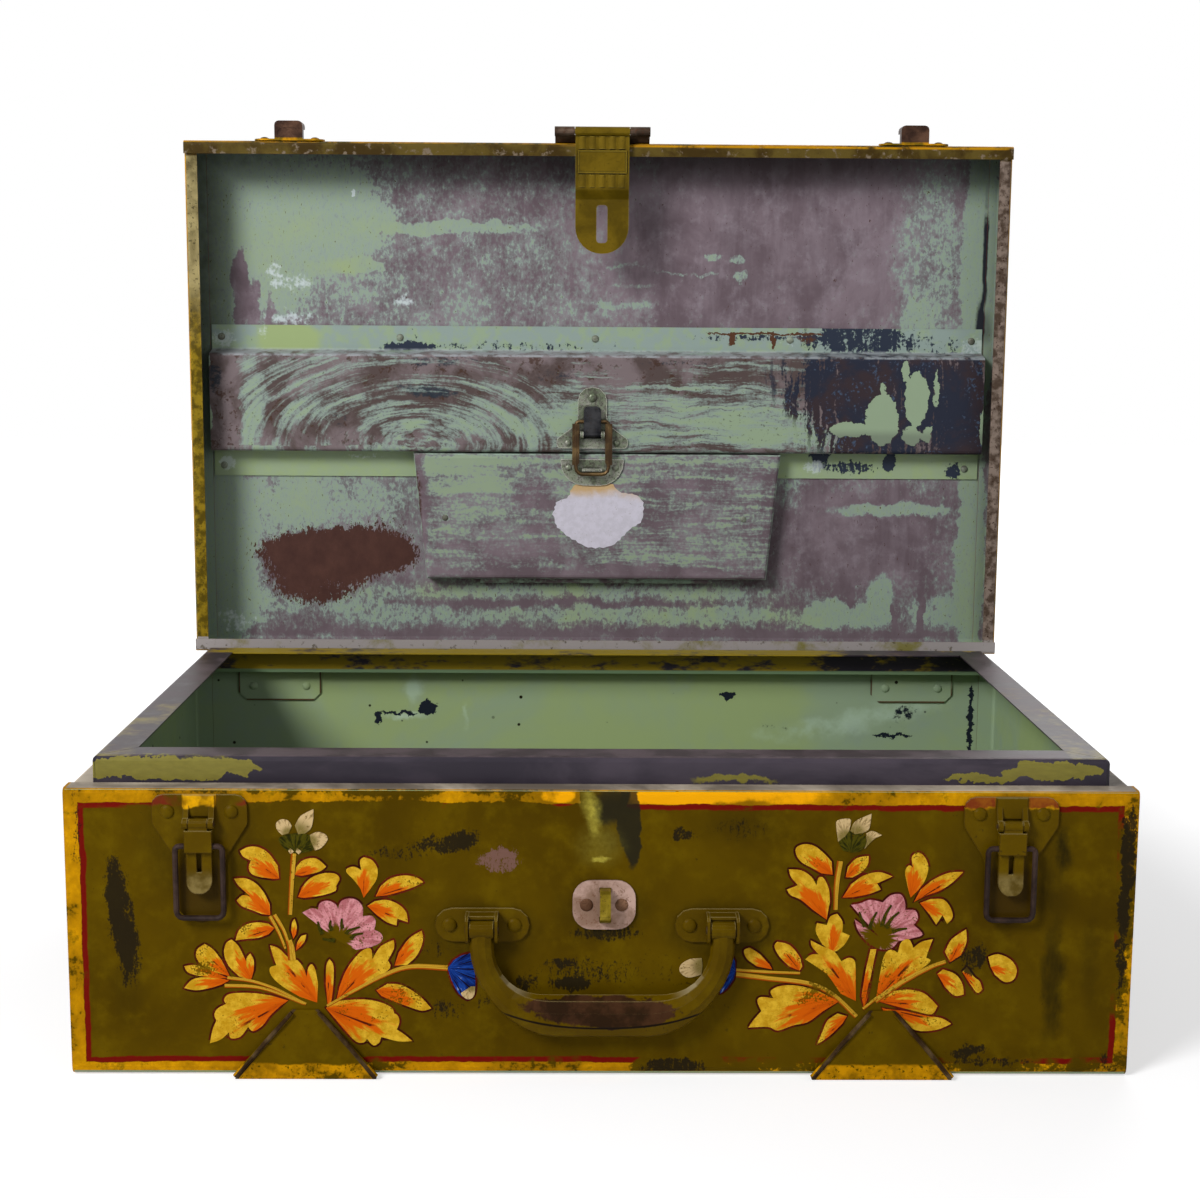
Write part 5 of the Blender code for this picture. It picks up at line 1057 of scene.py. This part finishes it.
# Front latches and their catches
# Draw latches: a riveted plate with a strap, a hinged lever and a wire bail, brushed over with the body's
# olive and the yellow of the band, rubbed brown on the edges. The bail hooks over a catch on the lid.
LATCH_MIDDLE, LATCH_REACH = 2.0 * MM, 230.0 * MM
HANDLE_FRONT = -199.0 * MM
GRIP_WEAR = [(0, 44, 38, 8, 0.5, 1.0), (-6, 48, 44, 4, 0.5, 0.6), (14, 42, 24, 6, 0.5, 0.6)]
# Where the grip's painted highlights lie, on its upper inner corners.
GRIP_HIGHLIGHTS = [(-53, 60, 9, 8, 0.9, 0.7), (53, 60, 9, 8, 0.9, 0.7)]


def turned_edge(radius):
    """The normal as rounded off at the edges, and how far it agrees with the one before."""
    turned = node("Bevel", {"Radius": radius}, samples=4)[0]
    return turned, vector_calc("DOT_PRODUCT", turned, node("NewGeometry")["Normal"])["Value"]


def painted_fitting(name, band_from=None, pale_low=None, grip=False, dark_low=None):
    """Fittings painted over with the body: olive, yellow where the band crossed them, brown at worn edges,
    and a painted highlight on edges that face up.
    """
    material, where = start_paint(name)
    colour, mottle = olive_coat(where)
    x, y, z = axes(where)
    turned, same = turned_edge(1.0 * MM)
    corner = fade(same, 0.985, 0.9)
    facing_up = axes(turned)["Z"]
    ragged = wobbled(where, 90, 8 * MM)
    if band_from:
        rise = axes(ragged)["Z"]
        from_centre = abs(x - LATCH_MIDDLE)
        strap = fade(abs(from_centre - LATCH_REACH), 10 * MM, 9 * MM)
        yellow_share = blend(x < 0.0, 1.0 - strap, strap)
        band = fade(rise, band_from, band_from + 1.6 * MM) * yellow_share
        red = fade(rise, band_from + 1.0 * MM, band_from + 2.4 * MM) * (1.0 - strap)
        red = red * fade(mottle["Broad"], 0.44, 0.5)
        colour = blend(band, colour, blend(fade(mottle["Middle"], 0.38, 0.6), YELLOW_DEEP, "C99304"))
        colour = blend(red * 0.8, colour, "641812")
    if dark_low:
        low = fade(z, dark_low + 4 * MM, dark_low - 4 * MM) * 0.75
        colour = blend(low * (mottle["Middle"] * 0.6 + 0.5), colour, "261807")
    if pale_low:
        pale = fade(z, pale_low + 3 * MM, pale_low - 3 * MM)
        cream = blend(fade(mottle["Middle"], 0.4, 0.62), "4A3C16", "6E5F36")
        colour = blend(pale * 0.9, colour, cream)
    if grip:
        front = y < HANDLE_FRONT
        patch = blots(ragged, GRIP_WEAR) * front
        patch = fade((mottle["Fine"] - 0.5) * 0.8 + patch, 0.36, 0.62)
        bare = blend(fade(mottle["Middle"], 0.38, 0.64), "1E100A", "3A2216")
        colour = blend(patch * 0.92, colour, bare)
        sag = x * x * 2.4 + 35.0 * MM
        seam = fade(abs(z - sag), 0.9 * MM, 0.4 * MM) * fade(abs(x), 62.0 * MM, 52.0 * MM)
        colour = blend(seam * front, colour, "140D05")
        # Painted highlights on the grip's upper inner corners, on faces turned up.
        grip_highlight = blots(where, GRIP_HIGHLIGHTS) * fade(facing_up, 0.35, 0.75)
        colour = blend(grip_highlight, colour, "8E8266")
    rubbed = corner * fade(mottle["All"], 0.4, 0.54)
    colour = blend(rubbed * 0.8, colour, "2C1C0C")
    # Painted highlight on the edges that face upward.
    painted_highlight = corner * fade(facing_up, 0.15, 0.65)
    colour = blend(painted_highlight * 0.7, colour, "948455")
    end_paint(colour, mottle["Middle"] * 0.3 + 0.2, mottle["Fine"], 0.12 * MM, shine=0.03)
    return material


plate_paint = painted_fitting("latch_plate_enamel", band_from=159.0 * MM, dark_low=126.0 * MM)
dress(plate_paint, "latch_plate_left", "latch_plate_right")
dress(painted_fitting("latch_lever_enamel", pale_low=122.0 * MM), "latch_lever_left", "latch_lever_right")
wire_steel = browned_steel("wire_steel", "1C1310", "382A24", "2E1C12", metallic=0.0)
dress(wire_steel, "latch_bail_left", "latch_bail_right")
dress(dark_steel, "latch_pin_left", "latch_pin_right")
catch_steel, where = start_paint("catch_steel")
mottle = mottled(where, 60.0, 800.0)
colour = blend(fade(mottle["Broad"], 0.36, 0.66), "2B1A12", "543B2C")
ear = fade(axes(where)["Z"], 561.2 * MM, 560.4 * MM)
paint_left = blend(fade(mottle["Broad"], 0.4, 0.58), OLIVE_LIGHT, YELLOW)
colour = blend(ear, colour, paint_left)
end_paint(colour, mottle["All"] * 0.4 + 0.2, mottle["Fine"], metallic=0.2)
dress(catch_steel, "lid_catch_left", "lid_catch_right")


# Hasp and staple
# A pressed strap with fluted bands and a framed panel, hinged on the lid's front edge and painted olive; its
# slot drops over a wire staple on a small bare plate on the base.
hasp_paint, where = start_paint("hasp_enamel")
mottle = mottled(where, 40.0, 700.0)
colour = blend(fade(mottle["Broad"], 0.36, 0.64), "4A3B06", "624F0C")
_, same = turned_edge(0.9 * MM)
colour = blend(fade(same, 0.98, 0.88) * 0.5, colour, "8E7E34")
grime_and_shade = fade(mottle["Fine"] * 0.5 + mottle["Middle"] * 0.5, 0.55, 0.66)
colour = blend(grime_and_shade * 0.7, colour, "3E3008")
# Painted shade: darker in the flutes and other recesses, found by ambient occlusion.
open_air = node("AmbientOcclusion", {"Distance": 2.5 * MM}, samples=8)["AO"]
colour = blend(fade(open_air, 0.92, 0.55), colour, "1C1403")
end_paint(colour, mottle["Middle"] * 0.3 + 0.18, mottle["Fine"], 0.12 * MM, metallic=0.2, shine=0.06)
dress(hasp_paint, "hasp_strap")
dress(dark_steel, "hasp_leaf", "hasp_pin")
plate_steel = browned_steel("staple_plate_steel", "7C6252", "AC9084", "6A4A38", metallic=0.35, rough=0.35)
dress(plate_steel, "staple_plate")
dress(browned_steel("staple_brass", "6A5A12", "A08C30", "4A3A14", metallic=0.6, rough=0.2), "lock_staple")


# Carrying handle
# A hollow pressed handle swinging on pins in two round-ended brackets, all painted over with the body's olive
# and worn brown where the hand holds it.
dress(painted_fitting("handle_enamel", grip=True), "handle_bail")
dress(painted_fitting("bracket_enamel"), "handle_bracket_left", "handle_bracket_right")
dress(dark_steel, "handle_pin_left", "handle_pin_right")


# Lid pocket
# A hat-section rail riveted across the lid, and below it a pressed flap hinged at its lower edge. Green is
# dragged over mauve in wide brush arcs on the left of the rail; the right end is tarry blue-black with drips.
ARC_X, ARC_Z, ARC_FLAT = -137.0 * MM, 334.0 * MM, 1.9
RAIL_TOP, RAIL_FOOT = (405.0 * MM, 407.0 * MM), (329.6 * MM, 329.2 * MM)
RAIL_LOW, DRIP_FOOT = (340.0 * MM, 330.0 * MM), (350.0 * MM, 342.0 * MM)
BEND_BELOW, BEND_ABOVE = (401.2 * MM, 402.2 * MM), (408.0 * MM, 405.5 * MM)
rail_paint, where = start_paint("rail_enamel")
x, _, z = axes(where)
ragged = wobbled(where, 60, 14 * MM)
torn = wobbled(where, 150, 9 * MM)
mottle = mottled(where, 26.0, 420.0)
swirl_x, _, swirl_z = axes(wobbled(where, 22, 7 * MM))
arc_x = (swirl_x - ARC_X) / ARC_FLAT
arc_z = swirl_z - ARC_Z
reach = calc("SQRT", arc_x * arc_x + arc_z * arc_z)
sweep = calc("ARCTAN2", arc_z, arc_x)
broad_run = node("CombineXYZ", {0: reach * 125.0, 1: sweep * 0.9})
fine_run = node("CombineXYZ", {0: reach * 560.0, 1: sweep * 2.2})
arcs = noise(fine_run, 1.0, 3.0, 0.6) * 0.42 + noise(broad_run, 1.0, 2.0, 0.5) * 0.58
waved = wobbled(where, 26, 12 * MM)
level = streaks(waved, (30, 30, 520)) * 0.45 + streaks(waved, (18, 18, 110)) * 0.55
upright = streaks(waved, (260, 260, 22))
arcs_share = fade(x, -10.0 * MM, -60.0 * MM)
dragged = arcs * arcs_share + level * (1.0 - arcs_share)
tarred = fade(x, 130.0 * MM, 190.0 * MM)
dragged = upright * tarred + dragged * (1.0 - tarred)
RAIL_BIAS = [(-286, 365, 12, 45, 0.4, -0.22), (-262, 362, 9, 36, 0.5, 0.12), (-300, 365, 6, 60, 0.3, 0.5),
             (-214, 342, 32, 10, 0.7, -0.08), (-130, 392, 60, 6, 0.6, -0.05), (-130, 374, 52, 4, 0.6, -0.06),
             (-110, 350, 60, 9, 0.7, 0.05), (-28, 352, 26, 14, 0.7, 0.10), (-36, 392, 30, 10, 0.7, -0.12),
             (50, 352, 60, 16, 0.7, 0.06), (60, 393, 70, 9, 0.7, -0.07), (128, 350, 34, 18, 0.6, 0.12),
             (-60, 402, 160, 3, 0.5, -0.16), (180, 342, 22, 8, 0.5, 0.10)]
left = (mottle["Flecks"] - 0.5) * 0.2 + dragged + blots(ragged, RAIL_BIAS)
under = blend(fade(mottle["Broad"], 0.4, 0.6), "4A3E3C", "6E6264")
rusted = fade(mottle["Fine"] * 0.4 + mottle["Middle"] * 0.6, 0.53, 0.6)
under = blend(rusted * 0.8, under, "3B2519")
BLUE_STAINS = [(-128, 376, 28, 5, 0.6, 0.8), (-120, 398, 40, 5, 0.7, 0.6), (-30, 388, 24, 6, 0.8, 0.5),
               (-290, 385, 5, 14, 0.6, 0.7), (60, 398, 40, 4, 0.8, 0.5), (-196, 352, 6, 10, 0.8, 0.5)]
speck = streaks(where, (260, 260, 420), 4.0, 0.7)
blue = fade((speck - 0.5) * 1.6 + blots(ragged, BLUE_STAINS), 0.42, 0.8)
under = blend(blue * 0.85, under, "1B2833")
film = blend(fade(left, 0.52, 0.66), GREEN_BLUE, GREEN)
film = blend(fade(mottle["Fine"], 0.6, 0.68) * 0.7, film, "4A4A44")
colour = blend(fade(left, 0.44, 0.585), under, film)
TAR = [(244, 372, 66, 50, 0.7, 0.3), (180, 386, 44, 24, 0.9, 0.22), (285, 350, 20, 40, 0.4, 0.3),
       (190, 360, 30, 30, 0.9, 0.12)]
spilt = blots(ragged, TAR)
tar = spilt + upright * 1.15 + mottle["Flecks"] * 0.4
tar = fade(tar, 0.86, 0.98) * fade(spilt, 0.03, 0.12)
tar_colour = blend(fade(mottle["Broad"], 0.42, 0.6), "1E2230", "2E2428")
tar_colour = blend(fade(mottle["Flecks"], 0.62, 0.75), tar_colour, "39465A")
colour = blend(tar, colour, tar_colour)
DRIPS = [(217, 356, 12.5, 19, 0.1, 1.0), (217, 378, 2.2, 6, 0.3, 1.0), (243, 372, 9, 20, 0.12, 1.0),
         (240, 344, 8, 8, 0.3, 0.55), (252, 345, 4, 8, 0.4, 0.55), (192, 348, 16, 6, 0.4, 0.7),
         (234, 392, 2.5, 8, 0.4, 0.8), (258, 380, 2.2, 16, 0.5, 0.6), (302, 350, 10, 22, 0.2, 1.0),
         (305, 388, 7, 16, 0.2, 1.0)]
drips = fade(mottle["Fine"] * 0.3 + blots(torn, DRIPS), 0.52, 0.6)
colour = blend(drips, colour, blend(fade(z, *DRIP_FOOT), GREEN, "6E7A68"))
flange = most(fade(z, *RAIL_TOP), fade(z, *RAIL_FOOT))
edge_green = blend(fade(mottle["Middle"], 0.42, 0.62), GREEN_BLUE, GREEN)
edge_green = blend(fade(z, *RAIL_LOW) * 0.6, edge_green, GREEN_LIME)
LIME_CORNER = [(-236, 414, 25, 14, 0.2, 1.0)]
edge_green = blend(blots(torn, LIME_CORNER), edge_green, GREEN_LIME)
STAINS = [(-148, 407, 18, 5, 0.5, 0.34), (-60, 409, 90, 4, 0.6, 0.14), (120, 417, 50, 2, 0.7, 0.22),
          (200, 416, 44, 12, 0.4, 0.3), (262, 412, 20, 10, 0.6, 0.16), (190, 318, 24, 5, 0.6, 0.24),
          (226, 323, 5, 8, 0.4, 0.4), (276, 316, 6, 6, 0.6, 0.3), (172, 328, 8, 6, 0.5, 0.3)]
smear = upright * 0.5 + mottle["Flecks"] * 0.5
stained = fade(smear + blots(torn, STAINS), 0.66, 0.74)
edge_green = blend(stained, edge_green, "232A38")
RUST_LINES = [(126, 420, 44, 1.0, 0.5, 0.9), (102, 416, 3, 5, 0.5, 0.8), (134, 414, 2, 6, 0.5, 0.8),
              (160, 416, 12, 5, 0.7, 0.5)]
edge_green = blend(fade(mottle["Fine"] * 0.5 + blots(torn, RUST_LINES), 0.66, 0.8), edge_green, "4A2E1E")
WHITE_HAZE = [(-285, 414, 12, 8, 0.8, 0.5), (-256, 418, 6, 8, 0.8, 0.4), (150, 415, 12, 7, 0.8, 0.4),
              (168, 318, 10, 6, 0.8, 0.5), (290, 410, 16, 10, 0.8, 0.5), (-284, 320, 8, 6, 0.8, 0.6),
              (-178, 325, 22, 3, 0.8, 0.4)]
hazed = fade(mottle["Flecks"] * 0.6 + blots(torn, WHITE_HAZE), 0.62, 0.85)
edge_green = blend(hazed * 0.6, edge_green, "B4BEC0")
colour = blend(flange, colour, edge_green)
# Painted highlight along the rail's upper bend.
highlight_line = fade(z, *BEND_BELOW) * fade(z, *BEND_ABOVE) * fade(mottle["Middle"], 0.36, 0.58)
colour = blend(highlight_line * 0.7, colour, "9AA0A4")
end_paint(colour, mottle["Middle"] * 0.35 + 0.28, left, 0.15 * MM, shine=0.12)
dress(rail_paint, "pocket_rail")

FLAP_TOP, FLAP_SIDE = (326.8 * MM, 327.8 * MM), (223.2 * MM, 224.2 * MM)
flap_paint, where = start_paint("flap_enamel")
x, y, z = axes(where)
ragged = wobbled(where, 60, 14 * MM)
mottle = mottled(where, 26.0, 420.0)
wipes = streaks(wobbled(where, 20, 10 * MM), (16, 16, 150), 4.0, 0.62, lean=20)
level_wipes = streaks(wobbled(where, 20, 8 * MM), (20, 20, 300), 4.0, 0.65, lean=-11)
left_share = fade(x, 20.0 * MM, -40.0 * MM)
dragged = wipes * left_share + level_wipes * (1.0 - left_share)
FLAP_BIAS = [(-105, 310, 36, 18, 0.7, 0.16), (-60, 316, 46, 12, 0.7, 0.14), (-105, 262, 36, 14, 0.7, 0.07),
             (-88, 284, 40, 8, 0.7, 0.06), (-48, 290, 16, 14, 0.6, -0.14), (-55, 256, 30, 8, 0.7, -0.06),
             (80, 285, 60, 30, 0.7, -0.05), (120, 292, 16, 12, 0.7, 0.12), (70, 250, 60, 12, 0.7, 0.05),
             (70, 325, 60, 3, 0.6, 0.14), (0, 234, 160, 7, 0.5, -0.24), (-136, 290, 5, 50, 0.5, -0.3)]
left = (mottle["Flecks"] - 0.5) * 0.65 + dragged + blots(ragged, FLAP_BIAS)
under = blend(fade(mottle["Broad"], 0.36, 0.64), MAUVE_DARK, MAUVE)
film = blend(fade(left, 0.54, 0.72), GREEN_BLUE, GREEN)
haze = fade(left, 0.36, 0.52) * 0.3
colour = blend(most(fade(left, 0.44, 0.66) * 0.9, haze), under, film)
LEFT_EDGE = [(-139, 285, 4, 34, 0.4, 1.0)]
brown_edge = blots(ragged, LEFT_EDGE)
colour = blend(brown_edge * fade(mottle["Fine"], 0.36, 0.5), colour, "3C2820")
edge = most(fade(z, *FLAP_TOP), fade(y, *FLAP_SIDE))
colour = blend(edge * fade(mottle["Middle"], 0.4, 0.6), colour, "8FA394")
end_paint(colour, mottle["Middle"] * 0.3 + 0.38, left, 0.15 * MM, shine=0.1)
dress(flap_paint, "pocket_flap", "pocket_hinge_leaf")
dress(dark_steel, "pocket_hinge_pin")

plated, where = start_paint("pocket_plated_steel")
mottle = mottled(where, 70.0, 900.0)
_, same = turned_edge(0.8 * MM)
bright_edge = fade(same, 0.985, 0.9)
colour = blend(fade(mottle["Broad"], 0.38, 0.62), "46463C", "84847A")
film = fade(mottle["Middle"], 0.46, 0.54)
colour = blend(film * 0.45, colour, "6B7A5E")
freckle = fade(mottle["Fine"], 0.56, 0.64)
colour = blend(freckle * 0.7, colour, "2A2416")
colour = blend(bright_edge * 0.9, colour, "D2D0C4")
# Painted shade: darker in the latch's recesses, found by ambient occlusion.
open_air = node("AmbientOcclusion", {"Distance": 3.0 * MM}, samples=8)["AO"]
colour = blend(fade(open_air, 0.85, 0.4), colour, "14120C")
bare_metal = bright_edge * 0.5 + 0.25
end_paint(colour, mottle["All"] * 0.4 + 0.12, mottle["Fine"], 0.12 * MM, metallic=bare_metal, shine=0.2)
dress(plated, "pocket_latch_plate", "pocket_catch")
lever_steel = browned_steel("pocket_lever_steel", "15161A", "3A3A3C", "2C2420", metallic=0.8, rough=0.08)
dress(lever_steel, "pocket_latch_lever")
bail_steel = browned_steel("pocket_bail_steel", "3A2C1E", "6A5638", "3A2014", metallic=0.6, rough=0.25)
dress(bail_steel, "pocket_latch_bail", "pocket_latch_pin")


# Paper remnant
# A thin torn scrap of paper pasted on the flap, bleached lavender, with an ochre top edge where the paste
# has come through.
SCRAP_RIM = [(-34, 282), (-31, 291), (-22, 296), (-17, 305), (-4, 309), (10, 306), (19, 299), (31, 297),
             (36, 287), (33, 276), (24, 270), (16, 261), (2, 256), (-12, 259), (-23, 266), (-30, 272)]
SCRAP_MIDDLE = Vector((1, 283))
SCRAP_FACE, SCRAP_THICK = 222.0 * MM, 0.15 * MM
scrap_turns = [Vector((a, b)) for a, b in SCRAP_RIM]
scrap_rim = []
for i, spot in enumerate(smooth_run(scrap_turns + scrap_turns[:1], 5)[:-1]):
    tear = 0.55 * math.sin(2.7 * i) + 0.4 * math.sin(5.3 * i + 1.0)
    scrap_rim.append(spot + (spot - SCRAP_MIDDLE).normalized() * tear)
scrap_mesh = bpy.data.meshes.new("paper_remnant")
count = len(scrap_rim)
scrap_points = [(p.x * MM, SCRAP_FACE + side * SCRAP_THICK, p.y * MM) for side in (-1, 1) for p in scrap_rim]
scrap_faces = [tuple(range(count)), tuple(range(2 * count - 1, count - 1, -1))]
scrap_faces += [(i, (i + 1) % count, (i + 1) % count + count, i + count) for i in range(count)]
scrap_mesh.from_pydata(scrap_points, [], scrap_faces)
clean(scrap_mesh)
scrap = put("paper_remnant", scrap_mesh)
paper, where = start_paint("bleached_paper")
mottle = mottled(where, 50.0, 900.0)
colour = blend(fade(mottle["Middle"], 0.36, 0.64), "B6B2BD", "BFBBC7")
ochre = fade(mottle["Broad"] * 0.02 + axes(where)["Z"], 302.0 * MM, 312.0 * MM)
colour = blend(ochre * 0.9, colour, "B5945E")
colour = blend(fade(mottle["Fine"], 0.66, 0.74), colour, "7A745E")
end_paint(colour, 0.75, mottle["Fine"], 0.1 * MM)
scrap_mesh.materials.append(paper)
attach(scrap, "flap")


# Rivets
# Domed steel rivets hold the fittings; one Geometry Nodes tree sets a head on every marked point, painted
# like the piece that it holds. The points of one body and finish make one mesh.

def rivet_tree():
    tree = bpy.data.node_groups.new("rivet_heads", "GeometryNodeTree")
    face = tree.interface
    face.new_socket("Points", in_out="INPUT", socket_type="NodeSocketGeometry")
    for name, value in (("Sides", 20), ("Rings", 10)):
        face.new_socket(name, in_out="INPUT", socket_type="NodeSocketInt").default_value = value
    face.new_socket("Dome", in_out="INPUT", socket_type="NodeSocketFloat").default_value = 0.5
    face.new_socket("Finish", in_out="INPUT", socket_type="NodeSocketMaterial")
    face.new_socket("Heads", in_out="OUTPUT", socket_type="NodeSocketGeometry")
    given = tree.nodes.new("NodeGroupInput").outputs
    out = tree.nodes.new("NodeGroupOutput")

    def add(kind, **links):
        made = tree.nodes.new(kind)
        for key, value in links.items():
            tree.links.new(value, made.inputs[key])
        return made

    head = add("GeometryNodeMeshUVSphere", Segments=given["Sides"], Rings=given["Rings"])
    head.inputs["Radius"].default_value = 1.0
    marked = []
    for name, kind in (("facing", "FLOAT_VECTOR"), ("head", "FLOAT")):
        mark = tree.nodes.new("GeometryNodeInputNamedAttribute")
        mark.data_type = kind
        mark.inputs["Name"].default_value = name
        marked.append(mark.outputs["Attribute"])
    facing, size = marked
    turn = add("FunctionNodeAlignRotationToVector", Vector=facing)
    turn.axis = "Z"
    rise = tree.nodes.new("ShaderNodeMath")
    rise.operation = "MULTIPLY"
    tree.links.new(size, rise.inputs[0])
    tree.links.new(given["Dome"], rise.inputs[1])
    scale = add("ShaderNodeCombineXYZ", X=size, Y=size, Z=rise.outputs[0])
    placed = add("GeometryNodeInstanceOnPoints", Points=given["Points"], Instance=head.outputs["Mesh"],
                 Rotation=turn.outputs["Rotation"], Scale=scale.outputs[0])
    real = add("GeometryNodeRealizeInstances", Geometry=placed.outputs[0])
    smooth = add("GeometryNodeSetShadeSmooth", Geometry=real.outputs[0])
    finished = add("GeometryNodeSetMaterial", Geometry=smooth.outputs[0], Material=given["Finish"])
    tree.links.new(finished.outputs[0], out.inputs["Heads"])
    return tree


RIVET_TREE = rivet_tree()
RIVET_INPUTS = {item.name: item.identifier for item in RIVET_TREE.interface.items_tree
                if item.in_out == "INPUT"}


def rivets(name, body, finish, spots, dome=0.5):
    """Set rivet heads: each spot is a place in mm, the way it faces and its radius in mm."""
    mesh = bpy.data.meshes.new(name + "_points")
    mesh.from_pydata([tuple(v * MM for v in place) for place, _, _ in spots], [], [])
    mesh.attributes.new("facing", "FLOAT_VECTOR", "POINT")
    mesh.attributes.new("head", "FLOAT", "POINT")
    for i, (_, way, radius) in enumerate(spots):
        mesh.attributes["facing"].data[i].vector = way
        mesh.attributes["head"].data[i].value = radius * MM
    piece = put(name, mesh)
    heads = piece.modifiers.new("heads", "NODES")
    heads.node_group = RIVET_TREE
    heads[RIVET_INPUTS["Dome"]] = dome
    heads[RIVET_INPUTS["Finish"]] = finish
    solid = bpy.data.meshes.new_from_object(piece.evaluated_get(bpy.context.evaluated_depsgraph_get()))
    piece.modifiers.clear()
    piece.data = solid
    solid.name = name
    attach(piece, body)


FORWARD, BACKWARD, UP, DOWN = (0, -1, 0), (0, 1, 0), (0, 0, 1), (0, 0, -1)
LATCH_CENTRES, BRACKET_CENTRES, HINGE_CENTRES = (-228, 232), (-68.5, 68.5), (-240, 240)


def in_pairs(centres, off, y, z, facing, radius):
    """Two rivets at each centre, one on each side of it."""
    return [((centre + side * off, y, z), facing, radius) for centre in centres for side in (-1, 1)]


rivet_enamel = painted_fitting("rivet_enamel")
front_spots = in_pairs(LATCH_CENTRES, 18, -191.5, 157, FORWARD, 4.0)
front_spots += in_pairs(BRACKET_CENTRES, 18.5, -191.5, 91, FORWARD, 4.2)
rivets("rivets_front", "base", rivet_enamel, front_spots, dome=0.45)
staple_rivet = browned_steel("staple_rivet_steel", "4A3020", "7C5C46", "3A2414", metallic=0.2, rough=0.3)
staple_spots = in_pairs((1,), 10, -191.5, 103, FORWARD, 3.8)
rivets("rivets_staple", "base", staple_rivet, staple_spots, dome=0.25)
backing_spots = in_pairs(HINGE_CENTRES, 20, 187.6, 154, FORWARD, 3.2)
rivets("rivets_backing", "base", backing_paint, backing_spots)
hinge_base_spots = in_pairs(HINGE_CENTRES, 20, 191.8, 150, BACKWARD, 3.4)
rivets("rivets_hinge_base", "base", dark_steel, hinge_base_spots)
hinge_lid_spots = in_pairs(HINGE_CENTRES, 20, 220, 176.8, DOWN, 3.4)
rivets("rivets_hinge_lid", "lid", dark_steel, hinge_lid_spots)
rail_spots = [((x, 235.7, 415.5), FORWARD, 2.8) for x in (-287, -151, -2, 147, 286)]
rail_spots += [((x, 235.7, 317.5), FORWARD, 2.8) for x in (-287, 284)]
rail_rivet = browned_steel("rail_rivet_steel", "5A5A50", "8A9484", "4A3A30", metallic=0.2, rough=0.4)
rivets("rivets_rail", "lid", rail_rivet, rail_spots, dome=0.55)
latch_spots = in_pairs((-4,), 18.5, 219.6, 337, FORWARD, 2.6) + [((-4, 219.6, 371.5), FORWARD, 3.6)]
rivets("rivets_pocket_latch", "lid", plated, latch_spots)
rivets("rivets_pocket_catch", "flap", plated, in_pairs((-4,), 18, 220.6, 318, FORWARD, 2.6))
flap_spots = in_pairs((-2,), 114.5, 222.0, 279, FORWARD, 2.4)
rivets("rivets_flap", "flap", rail_rivet, flap_spots, dome=0.4)
rivets("rivets_catch", "lid", catch_steel, in_pairs(LATCH_CENTRES, 18.5, 205.5, 560.0, UP, 3.4))
